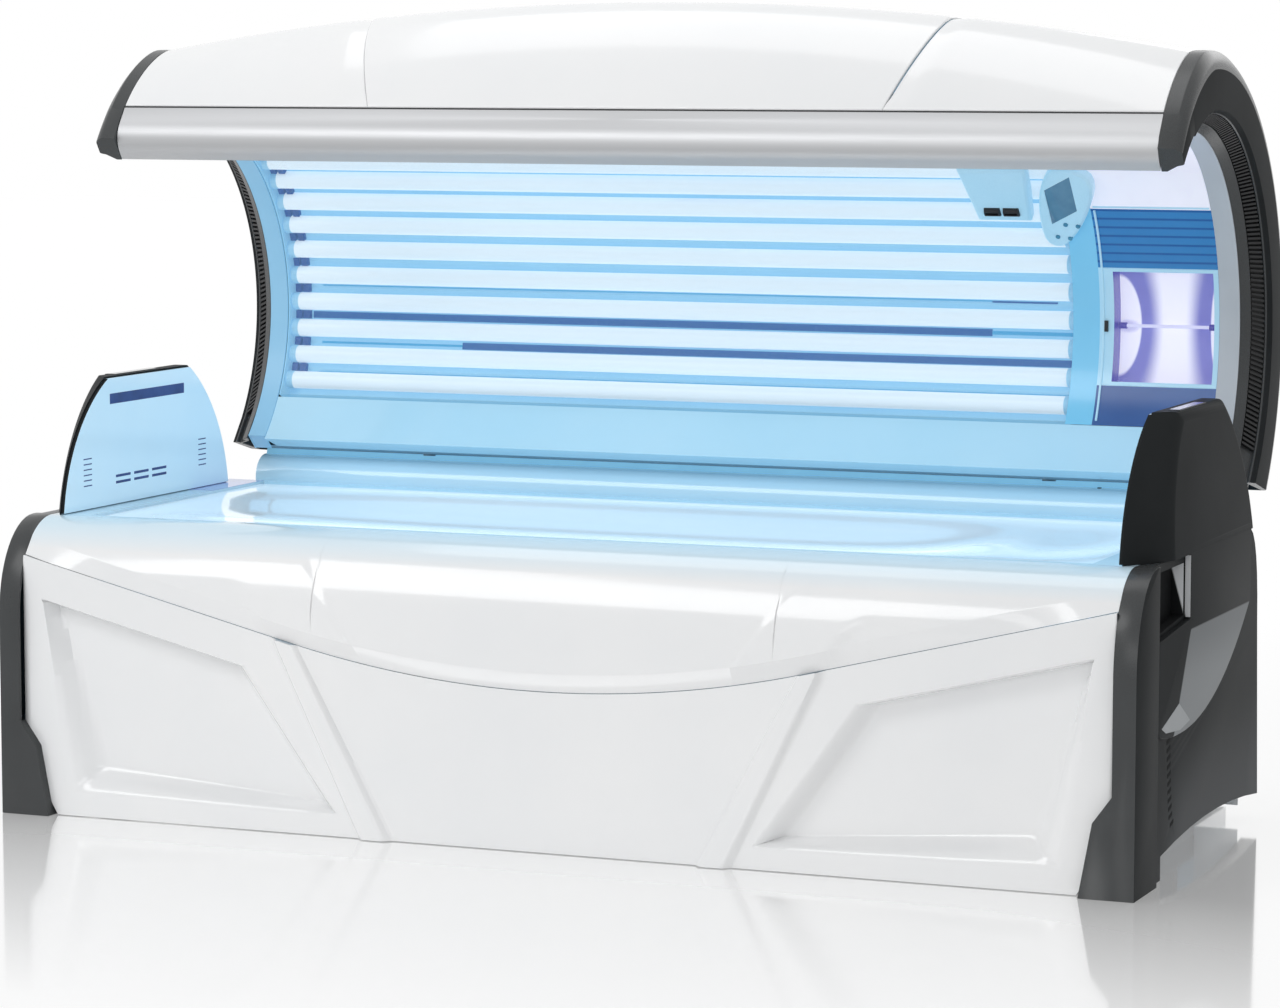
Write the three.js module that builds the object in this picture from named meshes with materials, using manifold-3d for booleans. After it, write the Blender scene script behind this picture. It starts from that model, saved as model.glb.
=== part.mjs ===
// Clamshell tanning bed with an open canopy.
// Millimetres. x runs along the bed, y from the front to the back, z up from the floor.
import * as THREE from 'three';
import { mergeVertices } from 'three/addons/utils/BufferGeometryUtils.js';
import Module from 'manifold-3d';

const wasm = await Module();
wasm.setup();

// Whole bed
const BED_LENGTH = 2350;
const BENCH_HEIGHT = 592;
const CLEARANCE = 0.3;
const RUNNING_GAP = 3;
const ARC_GAP = 0.9;
const ARC_STEP = 7.5;
const SHEET = 3;
const ROUND_SIDES = 12;

// Front of the base
const FRONT_ROUND_HEIGHT = 192;
const FRONT_ROUND = 137;
const SURROUND_WALL = 6;
const LIP_HEIGHT = 36;
const LIP_UNDERCUT = 24;
const SEAM_DROP = 283;
const SEAM_RISE = 66;
const SEAM_KNEE = 540;
const SEAM_GAP = 3;
const BROW_STEPS = 12;
const BROW_ARC_STEPS = 7;
const BADGE_TOP_HALF = 505;
const BADGE_LOW_HALF = 415;
const BADGE_LOW_DROP = 184;
const BADGE_HIGH_DROP = 62;
const BADGE_SUNK = 3;

// Service panel
const PANEL_WALL = 5;
const PANEL_BOTTOM = 10;
const RIB_PROUD = 14;
const RIB_TOP_X = 532;
const RIB_TOP_HALF = 24;
const RIB_LOW_X = 356;
const RIB_LOW_HALF = 36;
const RIB_CREST = 0.4;
const FIELD_DEPTH = 42;
const FIELD_SLOPE = 40;
const FIELD_DROP = 72;
const FIELD_INNER_TOP = 634;
const FIELD_INNER_LOW = 430;
const FIELD_END_TOP = 41;
const FIELD_END_LOW = 109;
const FIELD_BOTTOM = 44;

// End caps of the base
const CAP_WIDTH = 44;
const CAP_WALL = 8;
const CAP_RIM_PROUD = 12;
const CAP_RIM_DEPTH = 150;
const CAP_AHEAD = 66;
const CAP_REAR_DROP = 195;
const CAP_REAR_LEAN = 21;
const CAP_TOP_AHEAD = 170;
const ARCH_FRONT = 45;
const ARCH_CROWN = 92;
const ARCH_REAR = 46;
const CAP_FOOT_DEPTH = 217;
const FOOT_KNEE_HIGH = 189;
const FOOT_KNEE_LOW = 140;
const FOOT_KNEE_WIDTH = 80;
const FOOT_WIDTH = 106;
const SIDE_VENTS = 11;
const SIDE_VENT_LOW = 88;
const SIDE_VENT_PITCH = 16;
const SIDE_VENT_Y = 284;
const SIDE_VENT_SHIFT = 30;
const SIDE_VENT_LENGTH = 16;
const SIDE_VENT_HEIGHT = 7;
const SIDE_VENT_SLANT = 5;

// Towers at both ends of the bench
const TOWER_WIDTH = 67;
const TOWER_AHEAD = 525;
const TOWER_SUNK = 44;
const TOWER_FRONT_TOP = 158;
const TOWER_REAR_TOP = 194.5;
const TOWER_HEIGHT = 266;
const TOWER_LEAN = 20;
const TOWER_RAKE = 110;
const TOWER_EDGE = 20;
const TOWER_STEPS = 8;
const TOWER_SLOT_LENGTH = 190;
const TOWER_SLOT_WIDTH = 24;
const TOWER_SLOT_DEPTH = 5;
const SHIELD_LOW_DROP = 330;
const SHIELD_FRONT_LOW_DROP = 302;
const SHIELD_FRONT_HIGH_DROP = 140;
const SHIELD_BACK_AHEAD = 188;
const SHIELD_BACK_DROP = 137;
const SHIELD_NOTCH_Y = 360;
const SHIELD_NOTCH_RISE = 18;
const LINER_THICK = 7;
const LINER_BORDER = 10;
const LINER_SLOT_SHIFT = 7;
const LINER_SLOT_DROP = 46;
const LINER_SLOT_LENGTH = 316;
const LINER_SLOT_HEIGHT = 22;
const LINER_DASH_SHIFT = -23;
const LINER_DASH_RISE = 46;
const LINER_DASH_LENGTH = 62;
const LINER_DASH_HEIGHT = 6;
const LINER_DASH_PITCH_Y = 76;
const LINER_DASH_PITCH_Z = 13;
const LINER_RECESS = 3;

// Lying surface
const ACRYLIC_FRONT = 152;
const ACRYLIC_AHEAD = 120;
const SIDE_RIM_WIDTH = 85;
const ACRYLIC_SHEET = 5;
const ACRYLIC_DROP = 6;
const ACRYLIC_DISH = 34;
const ACRYLIC_STEPS_X = 10;
const ACRYLIC_STEPS_Y = 8;
const HEAD_INSET = 246;
const HEAD_SPREAD = 150;
const HEAD_SHARE = 0.55;
const LEDGE_WIDTH = 14;
const LEDGE_THICK = 8;
const DISH_MARGIN = 4;
const REAR_RIM_DROP = 8;

// Canopy hinge and counterbalance
const HINGE_Y = 1000;
const HINGE_INSET = 475;
const BARREL_R = 48;
const BARREL_WALL = 4;
const BARREL_FROM = 62;
const BARREL_STEPS = 12;
const BARREL_INSET = 35;
const PIN_R = 10;
const LUG_THICK = 24;
const LUG_EYE_R = 22;
const LUG_REACH = 92;
const LUG_CLEAR_R = 52;
const LUG_CLEAR_ANGLE = 12;
const LUG_NECK_ANGLE = 50;
const LUG_NECK_R = 60;
const POST_THICK = 10;
const POST_DEPTH = 46;
const POST_HEAD_R = 25;
const POST_FOOT = 8;
const CLOSING_ANGLE = 42;
const SPRING_ARM = 120;
const SPRING_PIN_R = 7;
const SPRING_EYE_WALL = 7;
const SPRING_EYE_WIDTH = 14;
const SPRING_SLOP = 0.8;
const ROD_R = 8;
const CYLINDER_R = 20;
const CYLINDER_DROP = 92;
const ROD_INSERTION = 140;
const BORE_GAP = 0.5;
const BORE_SPARE = 20;

// Base frame
const RAIL = 50;
const RAIL_BOTTOM = 40;
const TUBE_WALL = 3;
const FRAME_INSET = 135;
const FRAME_FRONT = 100;
const FRAME_BEHIND = 140;
const CROSS_DROP = 1;
const CROSS_INNER = 180;
const CROSS_OUTER = 420;
const UPRIGHT_INSET = 40;
const UPRIGHT_FRONT = 210;
const UPRIGHT_AHEAD = 200;
const UPRIGHT = 30;
const BEARER_LIP = 2;
const FOOT_INSET = 55;
const FOOT_PAD_R = 32;
const FOOT_PAD_HEIGHT = 14;
const FOOT_STEM_R = 11;

// Rear column cover
const COLUMN_INSET = 130;
const COLUMN_BOTTOM = 24;
const COLUMN_COVER_BEHIND = 32;
const LUG_SLOT_HALF = 46;
const LOUVRE_COUNT = 6;
const LOUVRE_LENGTH = 220;
const LOUVRE_HEIGHT = 8;
const LOUVRE_PITCH = 26;
const LOUVRE_X = 450;
const LOUVRE_Z = 150;
const GLAND_INSET = 195;
const GLAND_Z = 130;
const GLAND_R = 11;
const GLAND_NUT_R = 18;
const GLAND_LENGTH = 24;

// Tubes
const LAMP_R = 19;
const LAMP_SIDES = 8;
const LAMP_BORE_SIDES = 6;
const LAMP_WALL = 2;
const BENCH_LAMPS = 13;
const BENCH_LAMP_MARGIN = 52;
const BENCH_LAMP_DROP = 78;
const PAN_INSET = 10;
const PAN_BELOW = 34;
const PAN_ABOVE = 20;
const PAN_MARGIN = 38;
const HOLDER_THICK = 16;

// Ballast tray and fan
const TRAY_X = 150;
const TRAY_LENGTH = 620;
const TRAY_Y = 300;
const TRAY_DEPTH = 420;
const TRAY_RIM = 24;
const BALLAST_COUNT = 6;
const BALLAST_LENGTH = 230;
const BALLAST_WIDTH = 62;
const BALLAST_HEIGHT = 70;
const BALLAST_SPREAD = 142.6;
const FAN_X = -300;
const FAN_Y = 520;
const FAN_SIZE = 300;
const FAN_DEPTH = 80;
const FAN_BORE_R = 135;
const FAN_SPIDER = 14;
const FAN_HUB_R = 42;
const FAN_TIP_GAP = 5;
const FAN_BLADES = 7;
const FAN_BLADE_PITCH = 35;
const FAN_BLADE_THICK = 4;
const FAN_SHAFT_R = 8;

// Canopy section round the tunnel axis; angles in degrees from the back, upwards
const HEM_AHEAD = 97.04;
const HEM_RISE = 91.04;
const TUNNEL_R = 403;
const CANOPY_DEPTH = 154;
const NOSE_ANGLE = 124.8;
const NOSE_DEPTH = 56;
const BAR_TOP_ANGLE = 115.9;
const BAR_TOP_DEPTH = 91;
const ROOF_ANGLE = 93;
const UPRIGHT_ANGLE = 90;
const ROOF_CURVE = 1.3;
const LOW_ANGLE_IN = -45;
const LOW_ANGLE_OUT = -36;
const CANOPY_INSET = 28;
const CANOPY_END_WIDTH = 47;
const CROWN = 95;
const CROWN_CURVE = 1.5;
const COVER_WALL = 6;
const COVER_STEPS_FRONT = 6;
const COVER_STEPS_BACK = 9;
const COVER_STEPS_LOW = 3;
const COVER_STEPS_X = 5;
const COVER_STEPS_MIDDLE = 6;
const SEAM_INSET = 554;
const SEAM_FLARE = 75;
const BAR_WALL = 8;
const BEAM_THICK = 40;
const BEAM_LOW_SHARE = 0.3;
const BEAM_HIGH_SHARE = 0.95;

// Canopy ends
const END_WALL = 5;
const END_LIP_INSET = 56;
const END_LIP_FLARE = 46;
const END_LIP_DEPTH = 35;
const GRILLE_GROOVE = 9;
const GRILLE_START = 24;
const GRILLE_WIDTH = 30;
const GRILLE_RIBS = 34;
const GRILLE_SIDE_GAP = 3.6;
const GRILLE_VALLEY = 0.4;
const GRILLE_TOP_ANGLE = 96;
const GRILLE_LOW_ANGLE = -33;
const END_ROUND = 18;
const RIM_WIDTH = 42;
const RIM_WALL = 4;
const RIM_FLANGE = 44;

// Canopy lamps and what carries them
const ACRYLIC_SUNK = 1;
const ACRYLIC_CANOPY_SHEET = 4;
const LAMP_BEHIND = 26;
const LAMP_FIRST_ANGLE = -22.4;
const LAMP_PITCH_ANGLE = 7.8;
const CANOPY_LAMPS = 16;
const LAMP_END_GAP = 4.7;
const REFLECTOR_BEHIND = 23;
const REFLECTOR_TOP_ANGLE = 97.5;
const REFLECTOR_LOW_ANGLE = -28.6;
const RIB_INSET = 27;
const RIB_THICK = 10;
const RIB_SUNK = 29;
const RIB_LOW_ANGLE = -33;
const BEAM_TOP_ANGLE = 66;
const BEAM_LOW_ANGLE = -29;
const BEAM_SIZE = 46;
const BEAM_WALL = 3;
const TRIM_TOP_ANGLE = -29.4;
const TRIM_RETURN = 59;
const TRIM_RETURN_TURN = 0.5;
const TRIM_CORNER_TURN = 1;
const TRIM_INNER_TURN = 1.2;
const TRIM_WALL = 4;

// Face tanner
const FACE_LENGTH = 304.4;
const FACE_TOP_ANGLE = 120;
const FACE_LOW_ANGLE = -28.8;
const FACE_SKIN = 6;
const FACE_WINDOW_LENGTH = 208;
const FACE_WINDOW_INSET = 10.4;
const FACE_WINDOW_ANGLE = 16;
const FACE_TUB_DEPTH = 48;
const FACE_GROOVES = 4;
const FACE_GROOVE_FIRST = 20;
const FACE_GROOVE_PITCH = 3.8;
const FACE_GROOVE_WIDTH = 0.9;
const FACE_GROOVE_DEPTH = 3;
const FACE_GLASS_SHEET = 4;
const BURNER_R = 9;
const BURNER_BEHIND = 28;
const BURNER_HOLDER = 24;

// Control pod
const POD_SHIFT = 11;
const POD_ANGLE = 40;
const POD_STAND = 8;
const POD_THICK = 24;
const POD_ROOT = 30;
const POD_HALF_LENGTH = 108;
const POD_HALF_WIDTH = 50;
const POD_TILT = -19;
const POD_TAPER = 0.3;
const POD_BEVEL = 5;
const SCREEN_HALF_WIDTH = 29;
const SCREEN_HALF_HEIGHT = 45;
const SCREEN_SHEAR = 18;
const SCREEN_CENTRE_V = 24;
const SCREEN_SHEET = 3;
const KEY_R = 5;
const KEY_PROUD = 2;
const KEY_DEPTH = 6;
const KEY_TRAVEL = 1.5;
const KEY_FIRST_U = -1;
const KEY_FIRST_V = -40;
const KEY_STEP_U = 25;
const KEY_STEP_V = -4;
const KEY_ROW_U = -22;
const KEY_ROW_V = -33;

// Fresh-air outlet
const AIR_SHIFT = -119;
const AIR_ANGLE = 45;
const AIR_STAND = 7;
const AIR_THICK = 24;
const AIR_TOP_HALF = 72;
const AIR_LOW_HALF = 56;
const AIR_HALF_HEIGHT = 74;
const AIR_BEVEL = 6;
const NOZZLE_U = 20;
const NOZZLE_V = -44;
const NOZZLE_R = 12;
const NOZZLE_LENGTH = 32;
const NOZZLE_SUNK = 4;
const NOZZLE_SLOT = 6;
const NOZZLE_GAP = 0.6;

// Helpers for places
const X_AXIS = new THREE.Vector3(1, 0, 0);
const Y_AXIS = new THREE.Vector3(0, 1, 0);
const Z_AXIS = new THREE.Vector3(0, 0, 1);
const radians = THREE.MathUtils.degToRad;
const degrees = THREE.MathUtils.radToDeg;
const lerp = THREE.MathUtils.lerp;
const at = (a, b) => new THREE.Vector2(a, b);

// Derived places of the base
const BED_HALF = BED_LENGTH / 2;
const CAP_INNER = BED_HALF - CAP_WIDTH;
const CAP_SIDE = BED_HALF - CAP_RIM_PROUD;
const FRONT_STRAIGHT = BENCH_HEIGHT - FRONT_ROUND_HEIGHT;
const SEAM_LOW = BENCH_HEIGHT - SEAM_DROP;
const BADGE_LOW = BENCH_HEIGHT - BADGE_LOW_DROP;
const BADGE_HIGH = BENCH_HEIGHT - BADGE_HIGH_DROP;
const FIELD_OUTER_TOP = CAP_INNER - FIELD_END_TOP;
const FIELD_OUTER_LOW = CAP_INNER - FIELD_END_LOW;
const CAP_DEPTH = HINGE_Y - CAP_AHEAD;
const CAP_REAR_HEIGHT = BENCH_HEIGHT - CAP_REAR_DROP;
const CAP_TOP_REAR = HINGE_Y - CAP_TOP_AHEAD;
const TOWER_Y = HINGE_Y - TOWER_AHEAD;
const TOWER_Z = BENCH_HEIGHT - TOWER_SUNK;
const TOWER_TOP = BENCH_HEIGHT + TOWER_HEIGHT;
const TOWER_FRONT_R = Math.hypot(TOWER_FRONT_TOP, TOWER_TOP - TOWER_Z);
const TOWER_REAR_R = Math.hypot(TOWER_REAR_TOP, TOWER_TOP - TOWER_Z);
const SHIELD_LOW = BENCH_HEIGHT - SHIELD_LOW_DROP;
const SHIELD_FRONT_LOW = BENCH_HEIGHT - SHIELD_FRONT_LOW_DROP;
const SHIELD_FRONT_HIGH = BENCH_HEIGHT - SHIELD_FRONT_HIGH_DROP;
const SHIELD_BACK_Y = HINGE_Y - SHIELD_BACK_AHEAD;
const SHIELD_BACK_Z = BENCH_HEIGHT - SHIELD_BACK_DROP;
const LINER_SLOT_Y = TOWER_Y + LINER_SLOT_SHIFT;
const LINER_SLOT_Z = TOWER_TOP - LINER_SLOT_DROP;
const LINER_DASH_Y = TOWER_Y + LINER_DASH_SHIFT;
const LINER_DASH_Z = BENCH_HEIGHT + LINER_DASH_RISE;
const ACRYLIC_REAR = HINGE_Y - ACRYLIC_AHEAD;
const ACRYLIC_HALF = CAP_INNER - SIDE_RIM_WIDTH;
const ACRYLIC_TOP = BENCH_HEIGHT - ACRYLIC_DROP;
const HEAD_X = ACRYLIC_HALF - HEAD_INSET;
const LEDGE_TOP = ACRYLIC_TOP - ACRYLIC_SHEET - CLEARANCE;
const REAR_RIM_HEIGHT = BENCH_HEIGHT - REAR_RIM_DROP;
const HINGE_Z = BENCH_HEIGHT;
const HINGE_X = BED_HALF - HINGE_INSET;
const BARREL_HALF = CAP_INNER - BARREL_INSET;
const CYLINDER_TOP = HINGE_Z - CYLINDER_DROP;
const RAIL_TOP = RAIL_BOTTOM + RAIL;
const CROSS_TOP = RAIL_TOP - CROSS_DROP;
const FRAME_HALF = BED_HALF - FRAME_INSET;
const FRAME_REAR = HINGE_Y + FRAME_BEHIND;
const UPRIGHT_X = FRAME_HALF - UPRIGHT_INSET;
const UPRIGHT_REAR = HINGE_Y - UPRIGHT_AHEAD;
const FOOT_X = FRAME_HALF - FOOT_INSET;
const COLUMN_HALF = BED_HALF - COLUMN_INSET;
const COLUMN_COVER_FRONT = HINGE_Y + COLUMN_COVER_BEHIND;
const COLUMN_TOP = LEDGE_TOP - LEDGE_THICK - CLEARANCE;
const GLAND_X = GLAND_INSET - COLUMN_HALF;
const BENCH_LAMP_SPAN = ACRYLIC_REAR - ACRYLIC_FRONT - 2 * BENCH_LAMP_MARGIN;
const BENCH_LAMP_PITCH = BENCH_LAMP_SPAN / (BENCH_LAMPS - 1);
const BENCH_LAMP_Z = BENCH_HEIGHT - BENCH_LAMP_DROP;
const PAN_HALF = ACRYLIC_HALF - PAN_INSET;
const PAN_FLOOR = BENCH_LAMP_Z - PAN_BELOW;
const PAN_RIM = BENCH_LAMP_Z + PAN_ABOVE;

// Derived places of the canopy
const TUNNEL_Y = HINGE_Y - HEM_AHEAD - TUNNEL_R * Math.cos(radians(LOW_ANGLE_IN));
const TUNNEL_Z = HINGE_Z + HEM_RISE - TUNNEL_R * Math.sin(radians(LOW_ANGLE_IN));
const OUTER_R = TUNNEL_R + CANOPY_DEPTH;
const NOSE_R = TUNNEL_R + NOSE_DEPTH;
const BAR_TOP_R = TUNNEL_R + BAR_TOP_DEPTH;
const REAR_DEPTH = TUNNEL_Y + OUTER_R;
const ROOF_Z = TUNNEL_Z + OUTER_R;
const CANOPY_HALF = BED_HALF - CANOPY_INSET;
const COVER_HALF = CANOPY_HALF - CANOPY_END_WIDTH;
const SEAM_X = COVER_HALF - SEAM_INSET;
const END_LIP_X = CANOPY_HALF - END_LIP_INSET;
const END_SLOPE = Math.hypot(END_LIP_FLARE, END_LIP_DEPTH);
const GRILLE_END = GRILLE_START + GRILLE_WIDTH;
const RIM_INNER = END_LIP_X - CLEARANCE - RIM_WIDTH;
const ACRYLIC_R = TUNNEL_R + ACRYLIC_SUNK;
const LAMP_CIRCLE_R = ACRYLIC_R + LAMP_BEHIND;
const REFLECTOR_R = LAMP_CIRCLE_R + REFLECTOR_BEHIND;
const RIB_X = END_LIP_X - RIB_INSET;
const RIB_OUTER_R = OUTER_R - RIB_SUNK;
const TRIM_RETURN_R = TUNNEL_R + TRIM_RETURN;
const FACE_RIGHT = RIM_INNER - CLEARANCE;
const FACE_LEFT = FACE_RIGHT - FACE_LENGTH;
const FACE_WINDOW_RIGHT = FACE_RIGHT - FACE_WINDOW_INSET;
const FACE_WINDOW_LEFT = FACE_WINDOW_RIGHT - FACE_WINDOW_LENGTH;
const FACE_TUB_R = ACRYLIC_R + FACE_TUB_DEPTH;
const BURNER_CIRCLE_R = ACRYLIC_R + BURNER_BEHIND;
const LAMP_FIELD_LEFT = LAMP_END_GAP - RIM_INNER;
const LAMP_FIELD_RIGHT = FACE_LEFT - CLEARANCE;
const POD_X = LAMP_FIELD_RIGHT + POD_SHIFT;
const POD_MIDDLE_R = TUNNEL_R - POD_STAND;
const AIR_X = LAMP_FIELD_RIGHT + AIR_SHIFT;
const AIR_MIDDLE_R = TUNNEL_R - AIR_STAND;

// Evenly spaced values from first to last
function spread(first, last, steps) {
  return Array.from({ length: steps + 1 }, (_, i) => lerp(first, last, i / steps));
}

// Bore whose flats clear the corners of the faceted pin that turns in it
function runningBore(radius, sides = ROUND_SIDES) {
  return (radius + CLEARANCE) / Math.cos(Math.PI / sides);
}

// Solids and cuts

function solidFrom(geometry) {
  const bare = geometry.clone();
  bare.deleteAttribute('normal');
  bare.deleteAttribute('uv');
  const merged = mergeVertices(bare, 1e-4);
  return new wasm.Manifold(new wasm.Mesh({
    numProp: 3,
    vertProperties: Float32Array.from(merged.getAttribute('position').array),
    triVerts: Uint32Array.from(merged.index.array),
  }));
}

function geometryFrom(solid) {
  const mesh = solid.getMesh();
  const geometry = new THREE.BufferGeometry();
  geometry.setAttribute('position', new THREE.BufferAttribute(mesh.vertProperties, 3));
  geometry.setIndex(new THREE.BufferAttribute(mesh.triVerts, 1));
  geometry.computeVertexNormals();
  return geometry;
}

function join(solids) {
  return solids.reduce((whole, solid) => whole.add(solid));
}

function cut(body, tools) {
  return tools.reduce((whole, tool) => whole.subtract(tool), body);
}

// Outline in (y, z), drawn out along x
function prism(points, xa, xb) {
  const geometry = new THREE.ExtrudeGeometry(new THREE.Shape(points), {
    depth: Math.abs(xb - xa),
    bevelEnabled: false,
  });
  geometry.applyMatrix4(new THREE.Matrix4().makeBasis(Y_AXIS, Z_AXIS, X_AXIS));
  geometry.translate(Math.min(xa, xb), 0, 0);
  return solidFrom(geometry);
}

// Outline in (x, z), drawn out along y
function slab(points, ya, yb) {
  const geometry = new THREE.ExtrudeGeometry(new THREE.Shape(points), {
    depth: Math.abs(yb - ya),
    bevelEnabled: false,
  });
  geometry.applyMatrix4(new THREE.Matrix4().makeBasis(X_AXIS, Z_AXIS, Y_AXIS.clone().negate()));
  geometry.translate(0, Math.max(ya, yb), 0);
  return solidFrom(geometry);
}

// Outline in (x, y), drawn out along z
function plate(points, za, zb, bevel = 0) {
  const geometry = new THREE.ExtrudeGeometry(new THREE.Shape(points), {
    depth: zb - za - bevel,
    bevelEnabled: bevel > 0,
    bevelSegments: 1,
    bevelSize: bevel,
    bevelOffset: -bevel,
    bevelThickness: bevel,
  });
  geometry.translate(0, 0, za);
  const solid = solidFrom(geometry);
  const layer = block(-BED_LENGTH, BED_LENGTH, -BED_LENGTH, BED_LENGTH, za, zb);
  return bevel > 0 ? solid.intersect(layer) : solid;
}

function block(xa, xb, ya, yb, za, zb) {
  const geometry = new THREE.BoxGeometry(Math.abs(xb - xa), Math.abs(yb - ya), Math.abs(zb - za));
  geometry.translate((xa + xb) / 2, (ya + yb) / 2, (za + zb) / 2);
  return solidFrom(geometry);
}

function rodAlongX(radius, xa, xb, y, z, sides = ROUND_SIDES) {
  const geometry = new THREE.CylinderGeometry(radius, radius, Math.abs(xb - xa), sides);
  geometry.rotateZ(Math.PI / 2);
  geometry.translate((xa + xb) / 2, y, z);
  return solidFrom(geometry);
}

function rodAlongZ(radius, x, y, za, zb, sides = ROUND_SIDES) {
  const geometry = new THREE.CylinderGeometry(radius, radius, zb - za, sides);
  geometry.rotateX(Math.PI / 2);
  geometry.translate(x, y, (za + zb) / 2);
  return solidFrom(geometry);
}

// Profile of (radius, height) turned about a vertical axis
function turned(profile, x, y, sides = ROUND_SIDES) {
  const geometry = new THREE.LatheGeometry(profile, sides);
  geometry.rotateX(Math.PI / 2);
  geometry.translate(x, y, 0);
  return solidFrom(geometry);
}

// Closed rings joined in order, with both ends filled; flat gives a ring's own plane
function loft(rings, flat) {
  const count = rings[0].length;
  const positions = rings.flat().flatMap((point) => [point.x, point.y, point.z]);
  const faces = [];
  rings.slice(1).forEach((_, r) => {
    for (let i = 0; i < count; i += 1) {
      const j = (i + 1) % count;
      const a = r * count;
      const b = a + count;
      faces.push([a + i, a + j, b + j], [a + i, b + j, b + i]);
    }
  });
  [0, rings.length - 1].forEach((r) => {
    const contour = rings[r].map(flat);
    const anticlockwise = THREE.ShapeUtils.area(contour) > 0;
    const keep = anticlockwise === (r > 0);
    THREE.ShapeUtils.triangulateShape(contour, []).forEach(([a, b, c]) => {
      const face = keep ? [a, b, c] : [c, b, a];
      faces.push(face.map((index) => index + r * count));
    });
  });
  const corner = (index) => new THREE.Vector3().fromArray(positions, 3 * index);
  const volume = faces.reduce((sum, [a, b, c]) => sum + corner(a).dot(corner(b).cross(corner(c))), 0);
  const facing = volume > 0 ? faces : faces.map(([a, b, c]) => [c, b, a]);
  const geometry = new THREE.BufferGeometry();
  geometry.setAttribute('position', new THREE.Float32BufferAttribute(positions, 3));
  geometry.setIndex(facing.flat());
  return solidFrom(geometry);
}

// Closed outline moved inwards by a wall
function inset(points, wall) {
  const count = points.length;
  const turn = Math.sign(THREE.ShapeUtils.area(points));
  const inward = (from, to) => {
    const along = to.clone().sub(from).normalize();
    return at(-along.y * turn, along.x * turn);
  };
  return points.map((point, i) => {
    const before = inward(points[(i + count - 1) % count], point);
    const after = inward(point, points[(i + 1) % count]);
    const miter = before.clone().add(after).divideScalar(1 + before.dot(after));
    return point.clone().addScaledVector(miter, wall);
  });
}

// Round the tunnel axis

function arcPlace(r, a) {
  return at(TUNNEL_Y + r * Math.cos(radians(a)), TUNNEL_Z + r * Math.sin(radians(a)));
}

function arcPoint(x, r, a) {
  const place = arcPlace(r, a);
  return new THREE.Vector3(x, place.x, place.y);
}

// Section of [x, r] pairs carried round the tunnel axis
function arcSweep(section, angles) {
  const rings = angles.map((a) => section(a).map(([x, r]) => arcPoint(x, r, a)));
  return loft(rings, (p) => at(p.x, Math.hypot(p.y - TUNNEL_Y, p.z - TUNNEL_Z)));
}

// Falling angles on one common grid, so that neighbouring arcs share their facets
function arcAngles(from, to) {
  const first = Math.ceil(from / ARC_STEP) - 1;
  const last = Math.floor(to / ARC_STEP) + 1;
  const between = first < last ? [] : spread(first * ARC_STEP, last * ARC_STEP, Math.max(1, first - last));
  return [from, ...(first === last ? [first * ARC_STEP] : between), to];
}

function arcBlock(xa, xb, ra, rb, from, to) {
  return arcSweep(() => [[xa, ra], [xb, ra], [xb, rb], [xa, rb]], arcAngles(from, to));
}

// Outer radius of the canopy: round over the back and roof, falling to the bar in front
function outerRadius(a) {
  if (a > BAR_TOP_ANGLE) {
    return lerp(BAR_TOP_R, NOSE_R, (a - BAR_TOP_ANGLE) / (NOSE_ANGLE - BAR_TOP_ANGLE));
  }
  if (a > ROOF_ANGLE) {
    const share = ((a - ROOF_ANGLE) / (BAR_TOP_ANGLE - ROOF_ANGLE)) ** ROOF_CURVE;
    return lerp(OUTER_R, BAR_TOP_R, share);
  }
  return OUTER_R;
}

// How far the roof rises towards the middle of the bed
function crownShare(a) {
  const z = arcPlace(outerRadius(a), a).y;
  const foot = a > UPRIGHT_ANGLE ? arcPlace(BAR_TOP_R, BAR_TOP_ANGLE).y : HINGE_Z;
  const share = Math.max(0, (z - foot) / (ROOF_Z - foot));
  return a > UPRIGHT_ANGLE ? share : share ** CROWN_CURVE;
}

function crownRise(x, a) {
  return CROWN * (1 - (x / COVER_HALF) ** 2) * crownShare(a);
}

// Parts of the object
const bed = new THREE.Group();

function finish(color, roughness, metalness = 0) {
  return new THREE.MeshStandardMaterial({ color, roughness, metalness });
}

const whiteGloss = () => finish(0xf1f1f0, 0.18);
const charcoal = () => finish(0x3b3c3f, 0.3);
const blackPlastic = () => finish(0x1b1c1e, 0.5);
const paleRim = () => finish(0xc9cdd0, 0.35);
const brushed = () => finish(0xb4b7ba, 0.32, 0.9);
const steel = () => finish(0x6d7175, 0.45, 0.7);
const zinc = () => finish(0x9ea3a8, 0.35, 0.9);
const clear = () => finish(0xbfe9f8, 0.08);
const glow = () => finish(0xe4f6ff, 0.3);
const blueTrim = () => finish(0x8fd4ee, 0.3);
const mirror = () => finish(0xcfe3ee, 0.12, 0.95);

function addPart(name, solid, material, parent = bed) {
  const mesh = new THREE.Mesh(geometryFrom(solid), material);
  mesh.name = name;
  parent.add(mesh);
}

const SIDES = [
  { side: -1, hand: 'left' },
  { side: 1, hand: 'right' },
];

// End caps of the base

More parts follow.
